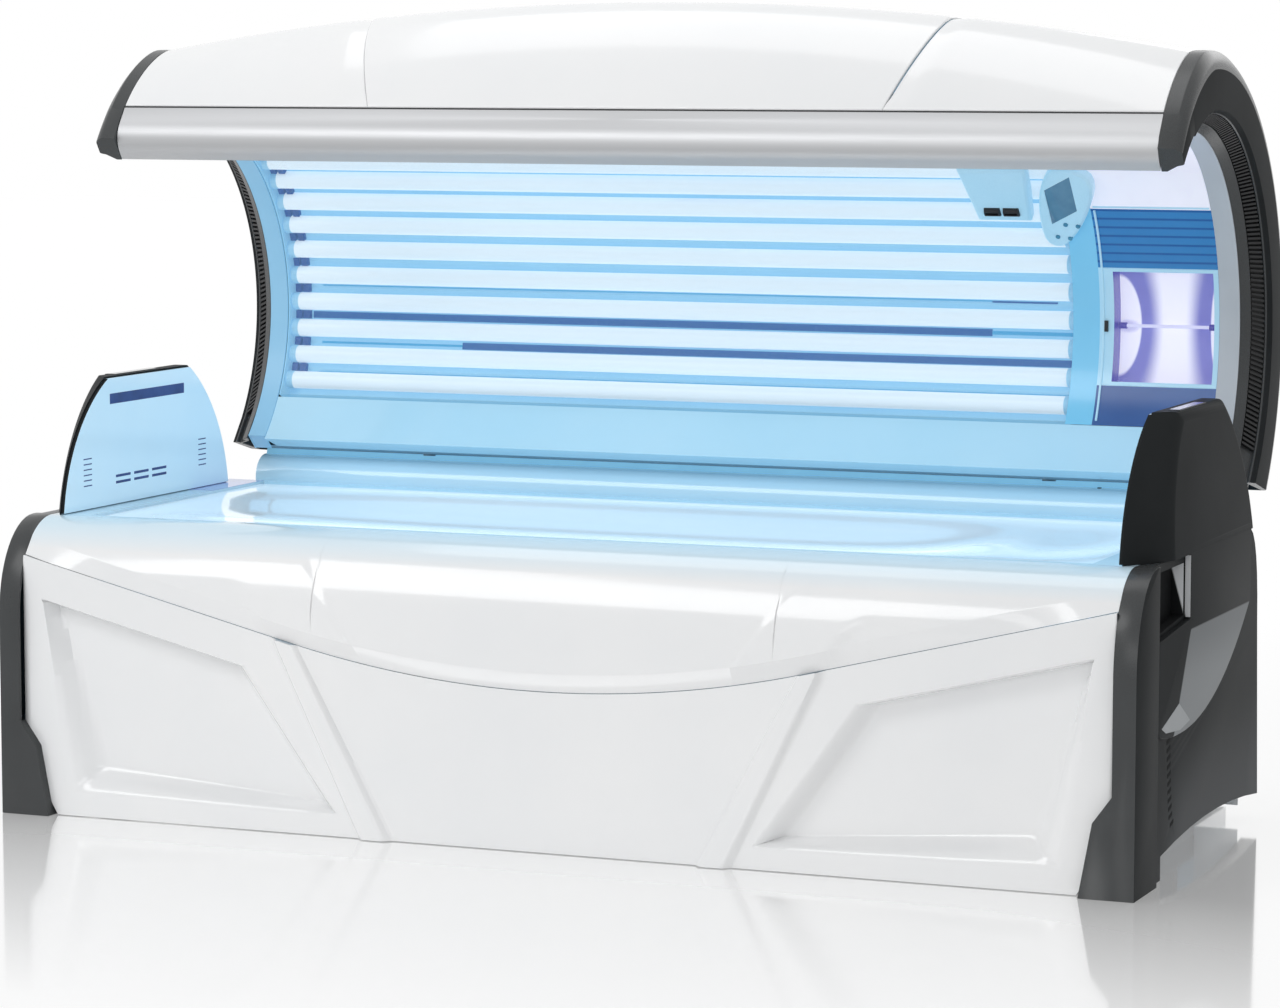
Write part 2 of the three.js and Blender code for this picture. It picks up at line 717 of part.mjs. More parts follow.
function endOutline() {
  const shape = new THREE.Shape();
  shape.moveTo(0, 0);
  shape.lineTo(0, FRONT_STRAIGHT);
  shape.absellipse(
    FRONT_ROUND,
    FRONT_STRAIGHT,
    FRONT_ROUND,
    FRONT_ROUND_HEIGHT,
    Math.PI,
    Math.PI / 2,
    true,
  );
  shape.lineTo(CAP_TOP_REAR, BENCH_HEIGHT);
  const rear = CAP_DEPTH - CAP_REAR_LEAN;
  shape.quadraticCurveTo(rear, BENCH_HEIGHT, rear, CAP_REAR_HEIGHT);
  shape.lineTo(CAP_DEPTH, ARCH_REAR);
  shape.quadraticCurveTo((CAP_DEPTH + CAP_FOOT_DEPTH) / 2, ARCH_CROWN, CAP_FOOT_DEPTH, ARCH_FRONT);
  shape.lineTo(CAP_FOOT_DEPTH, 0);
  return unique(shape.getPoints(BROW_ARC_STEPS));
}

function unique(points) {
  return points.filter((point, i) => point.distanceTo(points[(i + 1) % points.length]) > CLEARANCE);
}

function sideVent(side, index) {
  const z = SIDE_VENT_LOW + index * SIDE_VENT_PITCH;
  const share = index / (SIDE_VENTS - 1);
  const y = SIDE_VENT_Y - SIDE_VENT_SHIFT * Math.sqrt(share);
  return prism([
    at(y, z),
    at(y + SIDE_VENT_LENGTH, z + SIDE_VENT_SLANT),
    at(y + SIDE_VENT_LENGTH, z + SIDE_VENT_SLANT + SIDE_VENT_HEIGHT),
    at(y, z + SIDE_VENT_HEIGHT),
  ], side * CAP_INNER, side * BED_HALF);
}

// Hand recess between the front rim and the shield
function notchOutline(margin) {
  return [
    at(CAP_RIM_DEPTH + margin, SHIELD_FRONT_HIGH + margin),
    at(SHIELD_NOTCH_Y - margin, SHIELD_FRONT_HIGH + SHIELD_NOTCH_RISE + margin),
    at(SHIELD_NOTCH_Y - margin, BENCH_HEIGHT - CAP_WALL - margin),
    at(CAP_RIM_DEPTH + margin, BENCH_HEIGHT - CAP_WALL - margin),
  ];
}

function endCap(side) {
  const outline = endOutline();
  const hollow = inset(outline, CAP_WALL);
  const front = block(0, side * BED_LENGTH, -1, CAP_RIM_DEPTH, -1, BENCH_HEIGHT + 1);
  const inner = block(0, side * BED_LENGTH, -1, CAP_RIM_DEPTH - CAP_WALL, -1, BENCH_HEIGHT + 1);
  const open = side * (CAP_INNER - 1);
  const body = prism(outline, side * CAP_INNER, side * CAP_SIDE)
    .add(prism(outline, side * CAP_INNER, side * BED_HALF).intersect(front));
  const cavity = prism(hollow, open, side * (CAP_SIDE - CAP_WALL))
    .add(prism(hollow, open, side * (BED_HALF - CAP_WALL)).intersect(inner));
  const foot = slab([
    at(side * CAP_INNER, FOOT_KNEE_HIGH),
    at(side * (BED_HALF - FOOT_KNEE_WIDTH), FOOT_KNEE_LOW),
    at(side * (BED_HALF - FOOT_WIDTH), 0),
    at(side * BED_HALF, 0),
    at(side * BED_HALF, FOOT_KNEE_HIGH),
  ], 0, CAP_RIM_DEPTH);
  const vents = spread(0, SIDE_VENTS - 1, SIDE_VENTS - 1).map((index) => sideVent(side, index));
  const pocket = prism(notchOutline(0), side * CAP_INNER, side * BED_HALF);
  const recess = prism(notchOutline(CAP_WALL), side * (CAP_INNER + CAP_WALL), side * (BED_HALF + 1));
  return cut(body.subtract(cavity.subtract(pocket)).add(foot), [...vents, recess]);
}

// Towers

function towerOutline() {
  const foot = BENCH_HEIGHT + CLEARANCE;
  const lowFront = Math.PI - Math.asin((foot - TOWER_Z) / TOWER_FRONT_R);
  const topFront = Math.PI - Math.asin((TOWER_TOP - TOWER_Z) / TOWER_FRONT_R);
  const topRear = Math.asin((TOWER_TOP - TOWER_Z) / TOWER_REAR_R);
  const lowRear = Math.asin((foot - TOWER_Z) / TOWER_REAR_R);
  const arc = (radius, from, to) => spread(from, to, TOWER_STEPS).map(
    (a) => at(TOWER_Y + radius * Math.cos(a), TOWER_Z + radius * Math.sin(a)),
  );
  return [...arc(TOWER_FRONT_R, lowFront, topFront), ...arc(TOWER_REAR_R, topRear, lowRear)];
}

function shieldOutline() {
  const shape = new THREE.Shape();
  const front = CAP_RIM_DEPTH + CLEARANCE;
  shape.moveTo(front, SHIELD_FRONT_HIGH);
  shape.lineTo(front, SHIELD_FRONT_LOW);
  const round = front + SHIELD_FRONT_HIGH - SHIELD_FRONT_LOW;
  shape.quadraticCurveTo(front, SHIELD_LOW, round, SHIELD_LOW);
  shape.quadraticCurveTo((SHIELD_NOTCH_Y + SHIELD_BACK_Y) / 2, SHIELD_LOW, SHIELD_BACK_Y, SHIELD_BACK_Z);
  shape.lineTo(SHIELD_BACK_Y, BENCH_HEIGHT + TOWER_EDGE);
  shape.lineTo(SHIELD_NOTCH_Y, BENCH_HEIGHT + TOWER_EDGE);
  shape.lineTo(SHIELD_NOTCH_Y, SHIELD_FRONT_HIGH + SHIELD_NOTCH_RISE);
  return unique(shape.getPoints(BROW_ARC_STEPS));
}

function towerShell(side) {
  const outline = towerOutline();
  const inner = BED_HALF - TOWER_WIDTH;
  const layer = (x, wall) => inset(outline, wall).map((p) => {
    const share = (x - inner) / TOWER_WIDTH;
    const lean = TOWER_LEAN * ((p.y - BENCH_HEIGHT) / TOWER_HEIGHT) * share;
    const rake = TOWER_RAKE * (Math.max(0, TOWER_Y - p.x) / TOWER_FRONT_R) * share;
    return new THREE.Vector3(side * (x - lean), p.x + rake, p.y);
  });
  const shell = loft([
    layer(inner, 0),
    layer(BED_HALF - TOWER_EDGE, 0),
    layer(BED_HALF - TOWER_EDGE / 4, TOWER_EDGE / 3),
    layer(BED_HALF, TOWER_EDGE),
  ], (p) => at(p.y, p.z));
  const shield = prism(shieldOutline(), side * (CAP_SIDE + CLEARANCE), side * BED_HALF);
  const slotX = inner + TOWER_WIDTH / 2 - TOWER_LEAN / 2;
  const slot = block(
    side * (slotX - TOWER_SLOT_WIDTH / 2),
    side * (slotX + TOWER_SLOT_WIDTH / 2),
    TOWER_Y - TOWER_SLOT_LENGTH / 2,
    TOWER_Y + TOWER_SLOT_LENGTH / 2,
    TOWER_TOP - TOWER_SLOT_DEPTH,
    TOWER_TOP + 1,
  );
  return shell.add(shield).subtract(slot);
}

function linerDash(side, depth, column, row) {
  const y = LINER_DASH_Y + column * LINER_DASH_PITCH_Y;
  const z = LINER_DASH_Z + row * LINER_DASH_PITCH_Z;
  return block(
    side * (depth - 1),
    side * (depth + LINER_RECESS),
    y - LINER_DASH_LENGTH / 2,
    y + LINER_DASH_LENGTH / 2,
    z - LINER_DASH_HEIGHT / 2,
    z + LINER_DASH_HEIGHT / 2,
  );
}

function towerLiner(side) {
  const back = BED_HALF - TOWER_WIDTH - CLEARANCE;
  const face = back - LINER_THICK;
  const body = prism(inset(towerOutline(), LINER_BORDER), side * face, side * back);
  const slot = block(
    side * (face - 1),
    side * (face + LINER_RECESS),
    LINER_SLOT_Y - LINER_SLOT_LENGTH / 2,
    LINER_SLOT_Y + LINER_SLOT_LENGTH / 2,
    LINER_SLOT_Z - LINER_SLOT_HEIGHT / 2,
    LINER_SLOT_Z + LINER_SLOT_HEIGHT / 2,
  );
  const dashes = [-1, 0, 1].flatMap((column) => [0, 1].map((row) => linerDash(side, face, column, row)));
  return cut(body, [slot, ...dashes]);
}

// White front and rim of the bench

function seamHeight(x) {
  const reach = Math.abs(x);
  if (reach < SEAM_KNEE) {
    return SEAM_LOW + SEAM_RISE * (reach / SEAM_KNEE) ** 2;
  }
  return SEAM_LOW + SEAM_RISE + (reach - SEAM_KNEE) * (2 * SEAM_RISE / SEAM_KNEE);
}

// Front face of the base at height z
function frontDepth(z) {
  const rise = Math.max(0, z - FRONT_STRAIGHT) / (BENCH_HEIGHT - FRONT_STRAIGHT);
  return FRONT_ROUND * (1 - Math.sqrt(Math.max(0, 1 - rise * rise)));
}

function browRing(x) {
  const seam = seamHeight(x) + SEAM_GAP;
  const lip = Math.min(seam + LIP_HEIGHT, BENCH_HEIGHT - SURROUND_WALL);
  const start = Math.asin(Math.max(0, lip - FRONT_STRAIGHT) / (BENCH_HEIGHT - FRONT_STRAIGHT));
  const arc = spread(start, Math.PI / 2, BROW_ARC_STEPS).map((a) => at(
    FRONT_ROUND * (1 - Math.cos(a)),
    FRONT_STRAIGHT + (BENCH_HEIGHT - FRONT_STRAIGHT) * Math.sin(a),
  ));
  const face = [at(frontDepth(lip), lip), ...arc.slice(lip < FRONT_STRAIGHT ? 0 : 1)];
  const half = face[0].clone().add(face[1]).divideScalar(2);
  const outer = lip < FRONT_STRAIGHT ? face : [face[0], half, ...face.slice(1)];
  const edge = at(ACRYLIC_FRONT - CLEARANCE, BENCH_HEIGHT);
  const ledge = at(ACRYLIC_FRONT - CLEARANCE, LEDGE_TOP);
  const ledgeEnd = at(ACRYLIC_FRONT + LEDGE_WIDTH, LEDGE_TOP);
  const ledgeLow = at(ACRYLIC_FRONT + LEDGE_WIDTH, LEDGE_TOP - LEDGE_THICK);
  const inner = outer.map((p) => at(p.x + SURROUND_WALL, Math.min(p.y, LEDGE_TOP - LEDGE_THICK))).reverse();
  const undercut = Math.max(LIP_UNDERCUT, frontDepth(seam));
  const back = Math.max(undercut, frontDepth(lip)) + SURROUND_WALL;
  const ring = [
    at(undercut, seam),
    ...outer,
    edge,
    ledge,
    ledgeEnd,
    ledgeLow,
    ...inner.slice(1, -1),
    at(back, lip),
    at(undercut + SURROUND_WALL, seam),
  ];
  return ring.map((p) => new THREE.Vector3(x, p.x, p.y));
}

function rearRimOutline() {
  const from = 180 + degrees(Math.asin((HINGE_Z - REAR_RIM_HEIGHT) / BARREL_R));
  const ring = (radius) => spread(from, BARREL_FROM, BARREL_STEPS).map((a) => at(
    HINGE_Y + radius * Math.cos(radians(a)),
    HINGE_Z + radius * Math.sin(radians(a)),
  ));
  const rim = ACRYLIC_REAR + RUNNING_GAP;
  return [
    at(ACRYLIC_REAR - LEDGE_WIDTH, LEDGE_TOP),
    at(rim, LEDGE_TOP),
    at(rim, REAR_RIM_HEIGHT),
    ...ring(BARREL_R),
    ...ring(BARREL_R - BARREL_WALL).reverse().slice(0, -1),
    at(HINGE_Y - BARREL_R + BARREL_WALL, LEDGE_TOP - LEDGE_THICK),
    at(ACRYLIC_REAR - LEDGE_WIDTH, LEDGE_TOP - LEDGE_THICK),
  ];
}

function sideRim(side) {
  const inner = ACRYLIC_HALF + CLEARANCE;
  const outer = CAP_INNER - CLEARANCE;
  const low = LEDGE_TOP - LEDGE_THICK;
  const front = ACRYLIC_FRONT - LEDGE_WIDTH;
  const back = ACRYLIC_REAR + RUNNING_GAP + LEDGE_WIDTH;
  const rim = block(side * inner, side * outer, front, back, low, BENCH_HEIGHT);
  const ledge = block(side * (inner - LEDGE_WIDTH), side * (inner + 1), front, back, low, LEDGE_TOP);
  return rim.add(ledge);
}

function badgeField() {
  return slab([
    at(-BADGE_LOW_HALF, BADGE_LOW),
    at(BADGE_LOW_HALF, BADGE_LOW),
    at(BADGE_TOP_HALF, BADGE_HIGH),
    at(-BADGE_TOP_HALF, BADGE_HIGH),
  ], -1, BADGE_SUNK);
}

function benchSurround() {
  const end = CAP_INNER - CLEARANCE;
  const brow = loft(spread(-end, end, BROW_STEPS).map(browRing), (p) => at(p.y, p.z));
  return cut(join([brow, sideRim(-1), sideRim(1)]), [badgeField()]);
}

// Rear rim of the bench, rounded over the hinge and notched for the side rims
function hingeCover() {
  const inner = ACRYLIC_HALF - LEDGE_WIDTH;
  const front = ACRYLIC_REAR - LEDGE_WIDTH - 1;
  const back = ACRYLIC_REAR + RUNNING_GAP + LEDGE_WIDTH + CLEARANCE;
  const low = LEDGE_TOP - LEDGE_THICK - 1;
  const notch = (side) => block(side * inner, side * CAP_INNER, front, back, low, BENCH_HEIGHT);
  return cut(prism(rearRimOutline(), -BARREL_HALF, BARREL_HALF), [notch(-1), notch(1)]);
}

// Service panel under the brow

function fieldOutline(side, margin) {
  const top = (x) => seamHeight(x) - FIELD_DROP - margin;
  const innerTop = FIELD_INNER_TOP + margin;
  const outerTop = FIELD_OUTER_TOP - margin;
  return [
    at(side * innerTop, top(innerTop)),
    at(side * outerTop, top(outerTop)),
    at(side * (FIELD_OUTER_LOW - margin), FIELD_BOTTOM + margin),
    at(side * (FIELD_INNER_LOW + margin), FIELD_BOTTOM + margin),
  ];
}

// Sunk field: wide at the face, narrower at its floor
function fieldFunnel(side, face, depth, margin) {
  const ring = (y, inwards) => fieldOutline(side, inwards).map((p) => new THREE.Vector3(p.x, y, p.y));
  return loft([ring(face, margin), ring(face + depth, FIELD_SLOPE + margin)], (p) => at(p.x, p.z));
}

// Raised slanted rib with a narrow crest
function panelRib(side, face) {
  const top = seamHeight(RIB_TOP_X) - SEAM_GAP - LIP_HEIGHT / 2;
  const ring = (y, share) => [
    at(side * (RIB_TOP_X - RIB_TOP_HALF * share), top),
    at(side * (RIB_TOP_X + RIB_TOP_HALF * share), top),
    at(side * (RIB_LOW_X + RIB_LOW_HALF * share), PANEL_BOTTOM),
    at(side * (RIB_LOW_X - RIB_LOW_HALF * share), PANEL_BOTTOM),
  ].map((p) => new THREE.Vector3(p.x, y, p.y));
  return loft([ring(face + PANEL_WALL / 2, 1), ring(face - RIB_PROUD, RIB_CREST)], (p) => at(p.x, p.z));
}

function servicePanel() {
  const face = LIP_UNDERCUT;
  const end = CAP_INNER - CLEARANCE;
  const knee = BED_HALF - FOOT_KNEE_WIDTH - CLEARANCE;
  const low = BED_HALF - FOOT_WIDTH - CLEARANCE;
  const top = spread(end, -end, BROW_STEPS).map((x) => at(x, seamHeight(x)));
  const outline = [
    at(-end, FOOT_KNEE_HIGH + CLEARANCE),
    at(-knee, FOOT_KNEE_LOW + CLEARANCE),
    at(-low, PANEL_BOTTOM),
    at(low, PANEL_BOTTOM),
    at(knee, FOOT_KNEE_LOW + CLEARANCE),
    at(end, FOOT_KNEE_HIGH + CLEARANCE),
    ...top,
  ];
  const skin = slab(outline, face, face + PANEL_WALL);
  const tubs = [-1, 1].map((side) => fieldFunnel(side, face, FIELD_DEPTH + PANEL_WALL, -PANEL_WALL));
  const fields = [-1, 1].map((side) => fieldFunnel(side, face - 1, FIELD_DEPTH, 0));
  const ribs = [-1, 1].map((side) => panelRib(side, face));
  return cut(join([skin, ...tubs]), fields).add(join(ribs));
}

// Lying surface

// The sheet is flat over its ledge and dished inside it, less under the head
const DISH_EDGE = LEDGE_WIDTH + DISH_MARGIN;
const DISH_HALF = ACRYLIC_HALF - DISH_EDGE;

function acrylicDip(x) {
  const along = Math.max(0, 1 - (x / DISH_HALF) ** 4);
  const head = 1 - HEAD_SHARE * Math.exp(-(((x - HEAD_X) / HEAD_SPREAD) ** 2));
  return ACRYLIC_DISH * along * head;
}

function acrylicRing(x) {
  const middle = (ACRYLIC_FRONT + ACRYLIC_REAR) / 2;
  const half = (ACRYLIC_REAR - ACRYLIC_FRONT) / 2 - DISH_EDGE;
  const bowl = (y) => Math.max(0, 1 - ((y - middle) / half) ** 2) ** 2;
  const surface = (y) => ACRYLIC_TOP - acrylicDip(x) * bowl(y);
  const path = [
    ACRYLIC_FRONT,
    ...spread(ACRYLIC_FRONT + DISH_EDGE, ACRYLIC_REAR - DISH_EDGE, ACRYLIC_STEPS_Y),
    ACRYLIC_REAR,
  ];
  const over = path.map((y) => new THREE.Vector3(x, y, surface(y)));
  const under = path.map((y) => new THREE.Vector3(x, y, surface(y) - ACRYLIC_SHEET)).reverse();
  return [...over, ...under];
}

function benchAcrylic() {
  const half = ACRYLIC_HALF - CLEARANCE;
  const places = [-half, ...spread(-DISH_HALF, DISH_HALF, ACRYLIC_STEPS_X), half];
  return loft(places.map(acrylicRing), (p) => at(p.y, p.z));
}

function benchLampBank() {
  const middle = (ACRYLIC_FRONT + ACRYLIC_REAR) / 2;
  const reach = (BENCH_LAMPS - 1) / 2 * BENCH_LAMP_PITCH + PAN_MARGIN;
  const front = middle - reach;
  const back = middle + reach;
  const outside = block(-PAN_HALF, PAN_HALF, front, back, PAN_FLOOR, PAN_RIM);
  const inside = block(
    -PAN_HALF + HOLDER_THICK,
    PAN_HALF - HOLDER_THICK,
    front + SHEET,
    back - SHEET,
    PAN_FLOOR + SHEET,
    PAN_RIM + 1,
  );
  const pan = outside.subtract(inside);
  const tubeHalf = PAN_HALF - HOLDER_THICK / 2;
  const tubes = spread(0, BENCH_LAMPS - 1, BENCH_LAMPS - 1).map((i) => {
    const y = middle + (i - (BENCH_LAMPS - 1) / 2) * BENCH_LAMP_PITCH;
    return rodAlongX(LAMP_R, -tubeHalf, tubeHalf, y, BENCH_LAMP_Z, LAMP_SIDES);
  });
  const bores = spread(0, BENCH_LAMPS - 1, BENCH_LAMPS - 1).map((i) => {
    const y = middle + (i - (BENCH_LAMPS - 1) / 2) * BENCH_LAMP_PITCH;
    const bore = LAMP_R - LAMP_WALL;
    return rodAlongX(bore, -PAN_HALF - 1, tubeHalf - LAMP_WALL, y, BENCH_LAMP_Z, LAMP_BORE_SIDES);
  });
  return cut(join([pan, ...tubes]), bores);
}

// Base frame, feet and what stands on the frame

// Two cheeks on a foot plate, bored for the hinge pin
function hingePost(side) {
  const x = side * HINGE_X;
  const gap = LUG_THICK / 2 + CLEARANCE;
  const base = RAIL_TOP + CLEARANCE;
  const outline = [
    at(HINGE_Y - POST_DEPTH / 2, base + POST_FOOT / 2),
    at(HINGE_Y + POST_DEPTH / 2, base + POST_FOOT / 2),
    ...spread(0, 180, BROW_ARC_STEPS).map((a) => at(
      HINGE_Y + POST_HEAD_R * Math.cos(radians(a)),
      HINGE_Z + POST_HEAD_R * Math.sin(radians(a)),
    )),
  ];
  const cheeks = [-1, 1].map((cheek) => prism(outline, x + cheek * gap, x + cheek * (gap + POST_THICK)));
  const footHalf = gap + 2 * POST_THICK;
  const foot = block(
    x - footHalf,
    x + footHalf,
    HINGE_Y - RAIL / 2,
    HINGE_Y + RAIL / 2,
    base,
    base + POST_FOOT,
  );
  const bore = rodAlongX(PIN_R + CLEARANCE, x - footHalf, x + footHalf, HINGE_Y, HINGE_Z);
  return join([...cheeks, foot]).subtract(bore);
}

// Welded square tubes: three long rails and the cross members between them
function baseFrame() {
  const railPlaces = [FRAME_FRONT, HINGE_Y - RAIL / 2, FRAME_REAR - RAIL];
  const crossPlaces = [CROSS_INNER, CROSS_OUTER, FRAME_HALF - RAIL / 2].flatMap((x) => [-x, x]);
  const rails = (wall) => railPlaces.map((y) => block(
    -FRAME_HALF - wall,
    FRAME_HALF + wall,
    y + wall,
    y + RAIL - wall,
    RAIL_BOTTOM + wall,
    RAIL_TOP - wall,
  ));
  const crosses = (wall) => crossPlaces.map((x) => block(
    x - RAIL / 2 + wall,
    x + RAIL / 2 - wall,
    FRAME_FRONT + RAIL / 2,
    FRAME_REAR - RAIL / 2,
    RAIL_BOTTOM + CROSS_DROP + wall,
    CROSS_TOP - wall,
  ));
  return join([...rails(0), ...crosses(0)]).subtract(join([...rails(TUBE_WALL), ...crosses(TUBE_WALL)]));
}

// Bearer on two uprights under each end of the lamp pan
function benchTrestle(side) {
  const panBottom = PAN_FLOOR - CLEARANCE;
  const uprights = [UPRIGHT_FRONT, UPRIGHT_REAR].map((y) => block(
    side * UPRIGHT_X,
    side * (UPRIGHT_X + UPRIGHT),
    y,
    y + UPRIGHT,
    CROSS_TOP + CLEARANCE,
    panBottom - UPRIGHT / 2,
  ));
  const bearer = block(
    side * (UPRIGHT_X - BEARER_LIP),
    side * (UPRIGHT_X + UPRIGHT + BEARER_LIP),
    UPRIGHT_FRONT - BEARER_LIP,
    UPRIGHT_REAR + UPRIGHT + BEARER_LIP,
    panBottom - UPRIGHT,
    panBottom,
  );
  return join([...uprights, bearer]);
}

function levellingFoot(x, y) {
  const top = RAIL_BOTTOM - CLEARANCE;
  return turned([
    at(0, 0),
    at(FOOT_PAD_R, 0),
    at(FOOT_PAD_R, FOOT_PAD_HEIGHT / 2),
    at(FOOT_STEM_R, FOOT_PAD_HEIGHT),
    at(FOOT_STEM_R, top),
    at(0, top),
  ], x, y);
}

function rearPanel() {
  const back = FRAME_REAR + CLEARANCE;
  const flangeEnd = CAP_INNER - CLEARANCE;
  const front = CAP_DEPTH - CAP_REAR_LEAN - CAP_WALL;
  const hat = [
    at(-flangeEnd, front),
    at(-COLUMN_HALF + SHEET, front),
    at(-COLUMN_HALF + SHEET, back),
    at(COLUMN_HALF - SHEET, back),
    at(COLUMN_HALF - SHEET, front),
    at(flangeEnd, front),
    at(flangeEnd, front + SHEET),
    at(COLUMN_HALF, front + SHEET),
    at(COLUMN_HALF, back + SHEET),
    at(-COLUMN_HALF, back + SHEET),
    at(-COLUMN_HALF, front + SHEET),
    at(-flangeEnd, front + SHEET),
  ];
  const skin = plate(hat, COLUMN_BOTTOM, COLUMN_TOP);
  const coverEnd = COLUMN_HALF - SHEET / 2;
  const coverTop = COLUMN_TOP - SHEET;
  const cover = block(-coverEnd, coverEnd, COLUMN_COVER_FRONT, back + SHEET / 2, coverTop - SHEET, coverTop);
  const slots = SIDES.map(({ side }) => block(
    side * HINGE_X - LUG_SLOT_HALF,
    side * HINGE_X + LUG_SLOT_HALF,
    COLUMN_COVER_FRONT - 1,
    back,
    coverTop - 2 * SHEET,
    coverTop + 1,
  ));
  const louvres = [-1, 1].flatMap((side) => spread(0, LOUVRE_COUNT - 1, LOUVRE_COUNT - 1).map((i) => block(
    side * LOUVRE_X - LOUVRE_LENGTH / 2,
    side * LOUVRE_X + LOUVRE_LENGTH / 2,
    back - 1,
    back + SHEET + 1,
    LOUVRE_Z + i * LOUVRE_PITCH,
    LOUVRE_Z + i * LOUVRE_PITCH + LOUVRE_HEIGHT,
  )));
  const glandHole = glandTurned([
    at(0, -1),
    at(GLAND_R + CLEARANCE, -1),
    at(GLAND_R + CLEARANCE, SHEET + 1),
    at(0, SHEET + 1),
  ]);
  return cut(skin.add(cut(cover, slots)), [...louvres, glandHole]);
}

// Profile of (radius, depth behind the column's inner face) turned about the gland's axis
function glandTurned(profile) {
  const geometry = new THREE.LatheGeometry(profile, ROUND_SIDES);
  geometry.translate(GLAND_X, FRAME_REAR + CLEARANCE, GLAND_Z);
  return solidFrom(geometry);
}

function cableGland() {
  const outside = SHEET + CLEARANCE;
  return glandTurned([
    at(0, -SHEET),
    at(GLAND_R, -SHEET),
    at(GLAND_R, outside),
    at(GLAND_NUT_R, outside),
    at(GLAND_NUT_R, outside + GLAND_LENGTH / 3),
    at(GLAND_R, outside + GLAND_LENGTH),
    at(GLAND_R / 2, outside + GLAND_LENGTH),
    at(GLAND_R / 2, outside),
    at(0, outside),
  ]);
}

function ballastTray() {
  const base = CROSS_TOP + CLEARANCE;
  const tray = block(TRAY_X, TRAY_X + TRAY_LENGTH, TRAY_Y, TRAY_Y + TRAY_DEPTH, base, base + TRAY_RIM);
  const hollow = block(
    TRAY_X + SHEET,
    TRAY_X + TRAY_LENGTH - SHEET,
    TRAY_Y + SHEET,
    TRAY_Y + TRAY_DEPTH - SHEET,
    base + SHEET,
    base + TRAY_RIM + 1,
  );
  const rowPitch = TRAY_DEPTH / (BALLAST_COUNT / 2);
  const ballasts = spread(0, BALLAST_COUNT - 1, BALLAST_COUNT - 1).map((i) => {
    const x = TRAY_X + TRAY_LENGTH / 2 + (i % 2 === 0 ? -BALLAST_SPREAD : BALLAST_SPREAD);
    const y = TRAY_Y + rowPitch * (Math.floor(i / 2) + 1 / 2);
    return block(
      x - BALLAST_LENGTH / 2,
      x + BALLAST_LENGTH / 2,
      y - BALLAST_WIDTH / 2,
      y + BALLAST_WIDTH / 2,
      base + SHEET / 2,
      base + BALLAST_HEIGHT,
    );
  });
  return join([tray.subtract(hollow), ...ballasts]);
}

function fanHousing() {
  const base = CROSS_TOP + CLEARANCE;
  const half = FAN_SIZE / 2;
  const body = block(FAN_X - half, FAN_X + half, FAN_Y - half, FAN_Y + half, base, base + FAN_DEPTH);
  const bore = rodAlongZ(FAN_BORE_R, FAN_X, FAN_Y, base - 1, base + FAN_DEPTH + 1, 2 * ROUND_SIDES);
  const bar = FAN_SPIDER / 2;
  const reach = FAN_BORE_R + FAN_TIP_GAP;
  const cross = [[reach, bar], [bar, bar], [bar, reach]];
  const arms = [0, 1, 2, 3].flatMap((turn) => cross.map(
    ([u, v]) => at(FAN_X + u, FAN_Y + v).rotateAround(at(FAN_X, FAN_Y), turn * Math.PI / 2),
  ));
  const spider = plate(unique(arms), base + SHEET, base + FAN_SPIDER);
  const shaft = rodAlongZ(FAN_SHAFT_R, FAN_X, FAN_Y, base + 2 * SHEET, base + FAN_DEPTH - FAN_SPIDER);
  return join([body.subtract(bore), spider, shaft]);
}

function fanBlade(index, base, top) {
  const reach = FAN_BORE_R - FAN_TIP_GAP;
  const height = top - base;
  const geometry = new THREE.BoxGeometry(reach - FAN_HUB_R / 2, FAN_BLADE_THICK, height);
  geometry.rotateX(radians(FAN_BLADE_PITCH));
  geometry.translate((reach + FAN_HUB_R / 2) / 2, 0, (base + top) / 2);
  geometry.rotateZ(2 * Math.PI * index / FAN_BLADES);
  geometry.translate(FAN_X, FAN_Y, 0);
  return solidFrom(geometry);
}

function fanRotor() {
  const low = CROSS_TOP + CLEARANCE + FAN_SPIDER + CLEARANCE;
  const high = CROSS_TOP + CLEARANCE + FAN_DEPTH - RUNNING_GAP;
  const hub = rodAlongZ(FAN_HUB_R, FAN_X, FAN_Y, low, high);
  const blades = spread(0, FAN_BLADES - 1, FAN_BLADES - 1).map(
    (i) => fanBlade(i, low + RUNNING_GAP, high - RUNNING_GAP),
  );
  const shaftTop = CROSS_TOP + CLEARANCE + FAN_DEPTH - FAN_SPIDER + CLEARANCE;
  const bore = rodAlongZ(runningBore(FAN_SHAFT_R), FAN_X, FAN_Y, low - 1, shaftTop);
  const swept = rodAlongZ(FAN_BORE_R - FAN_TIP_GAP, FAN_X, FAN_Y, low, high, 2 * ROUND_SIDES);
  return join([hub, ...blades]).subtract(bore).intersect(swept);
}

// Counterbalance: an arm pin behind the hinge pulls a rod out of a cylinder as the canopy closes

const HALF_SWING = radians(CLOSING_ANGLE / 2);
const ARM_REACH_MIN = SPRING_ARM * Math.cos(HALF_SWING);
const ROD_Y = HINGE_Y + (ARM_REACH_MIN + SPRING_ARM) / 2;
const ARM_PIN_Z = HINGE_Z - SPRING_ARM * Math.sin(HALF_SWING);
const ARM_PIN_LENGTH = 2 * CLEARANCE + SPRING_EYE_WIDTH + LUG_THICK / 2;
const EYE_NEAR = LUG_THICK / 2 + RUNNING_GAP;

function springX(side) {
  return side * (HINGE_X + EYE_NEAR + SPRING_EYE_WIDTH / 2);
}

function springCylinder(side) {
  const base = RAIL_TOP + CLEARANCE;
  const body = rodAlongZ(CYLINDER_R, springX(side), ROD_Y, base, CYLINDER_TOP);
  const rodEnd = CYLINDER_TOP - ROD_INSERTION - BORE_SPARE;
  return body.subtract(rodAlongZ(ROD_R + BORE_GAP, springX(side), ROD_Y, rodEnd, CYLINDER_TOP + 1));
}

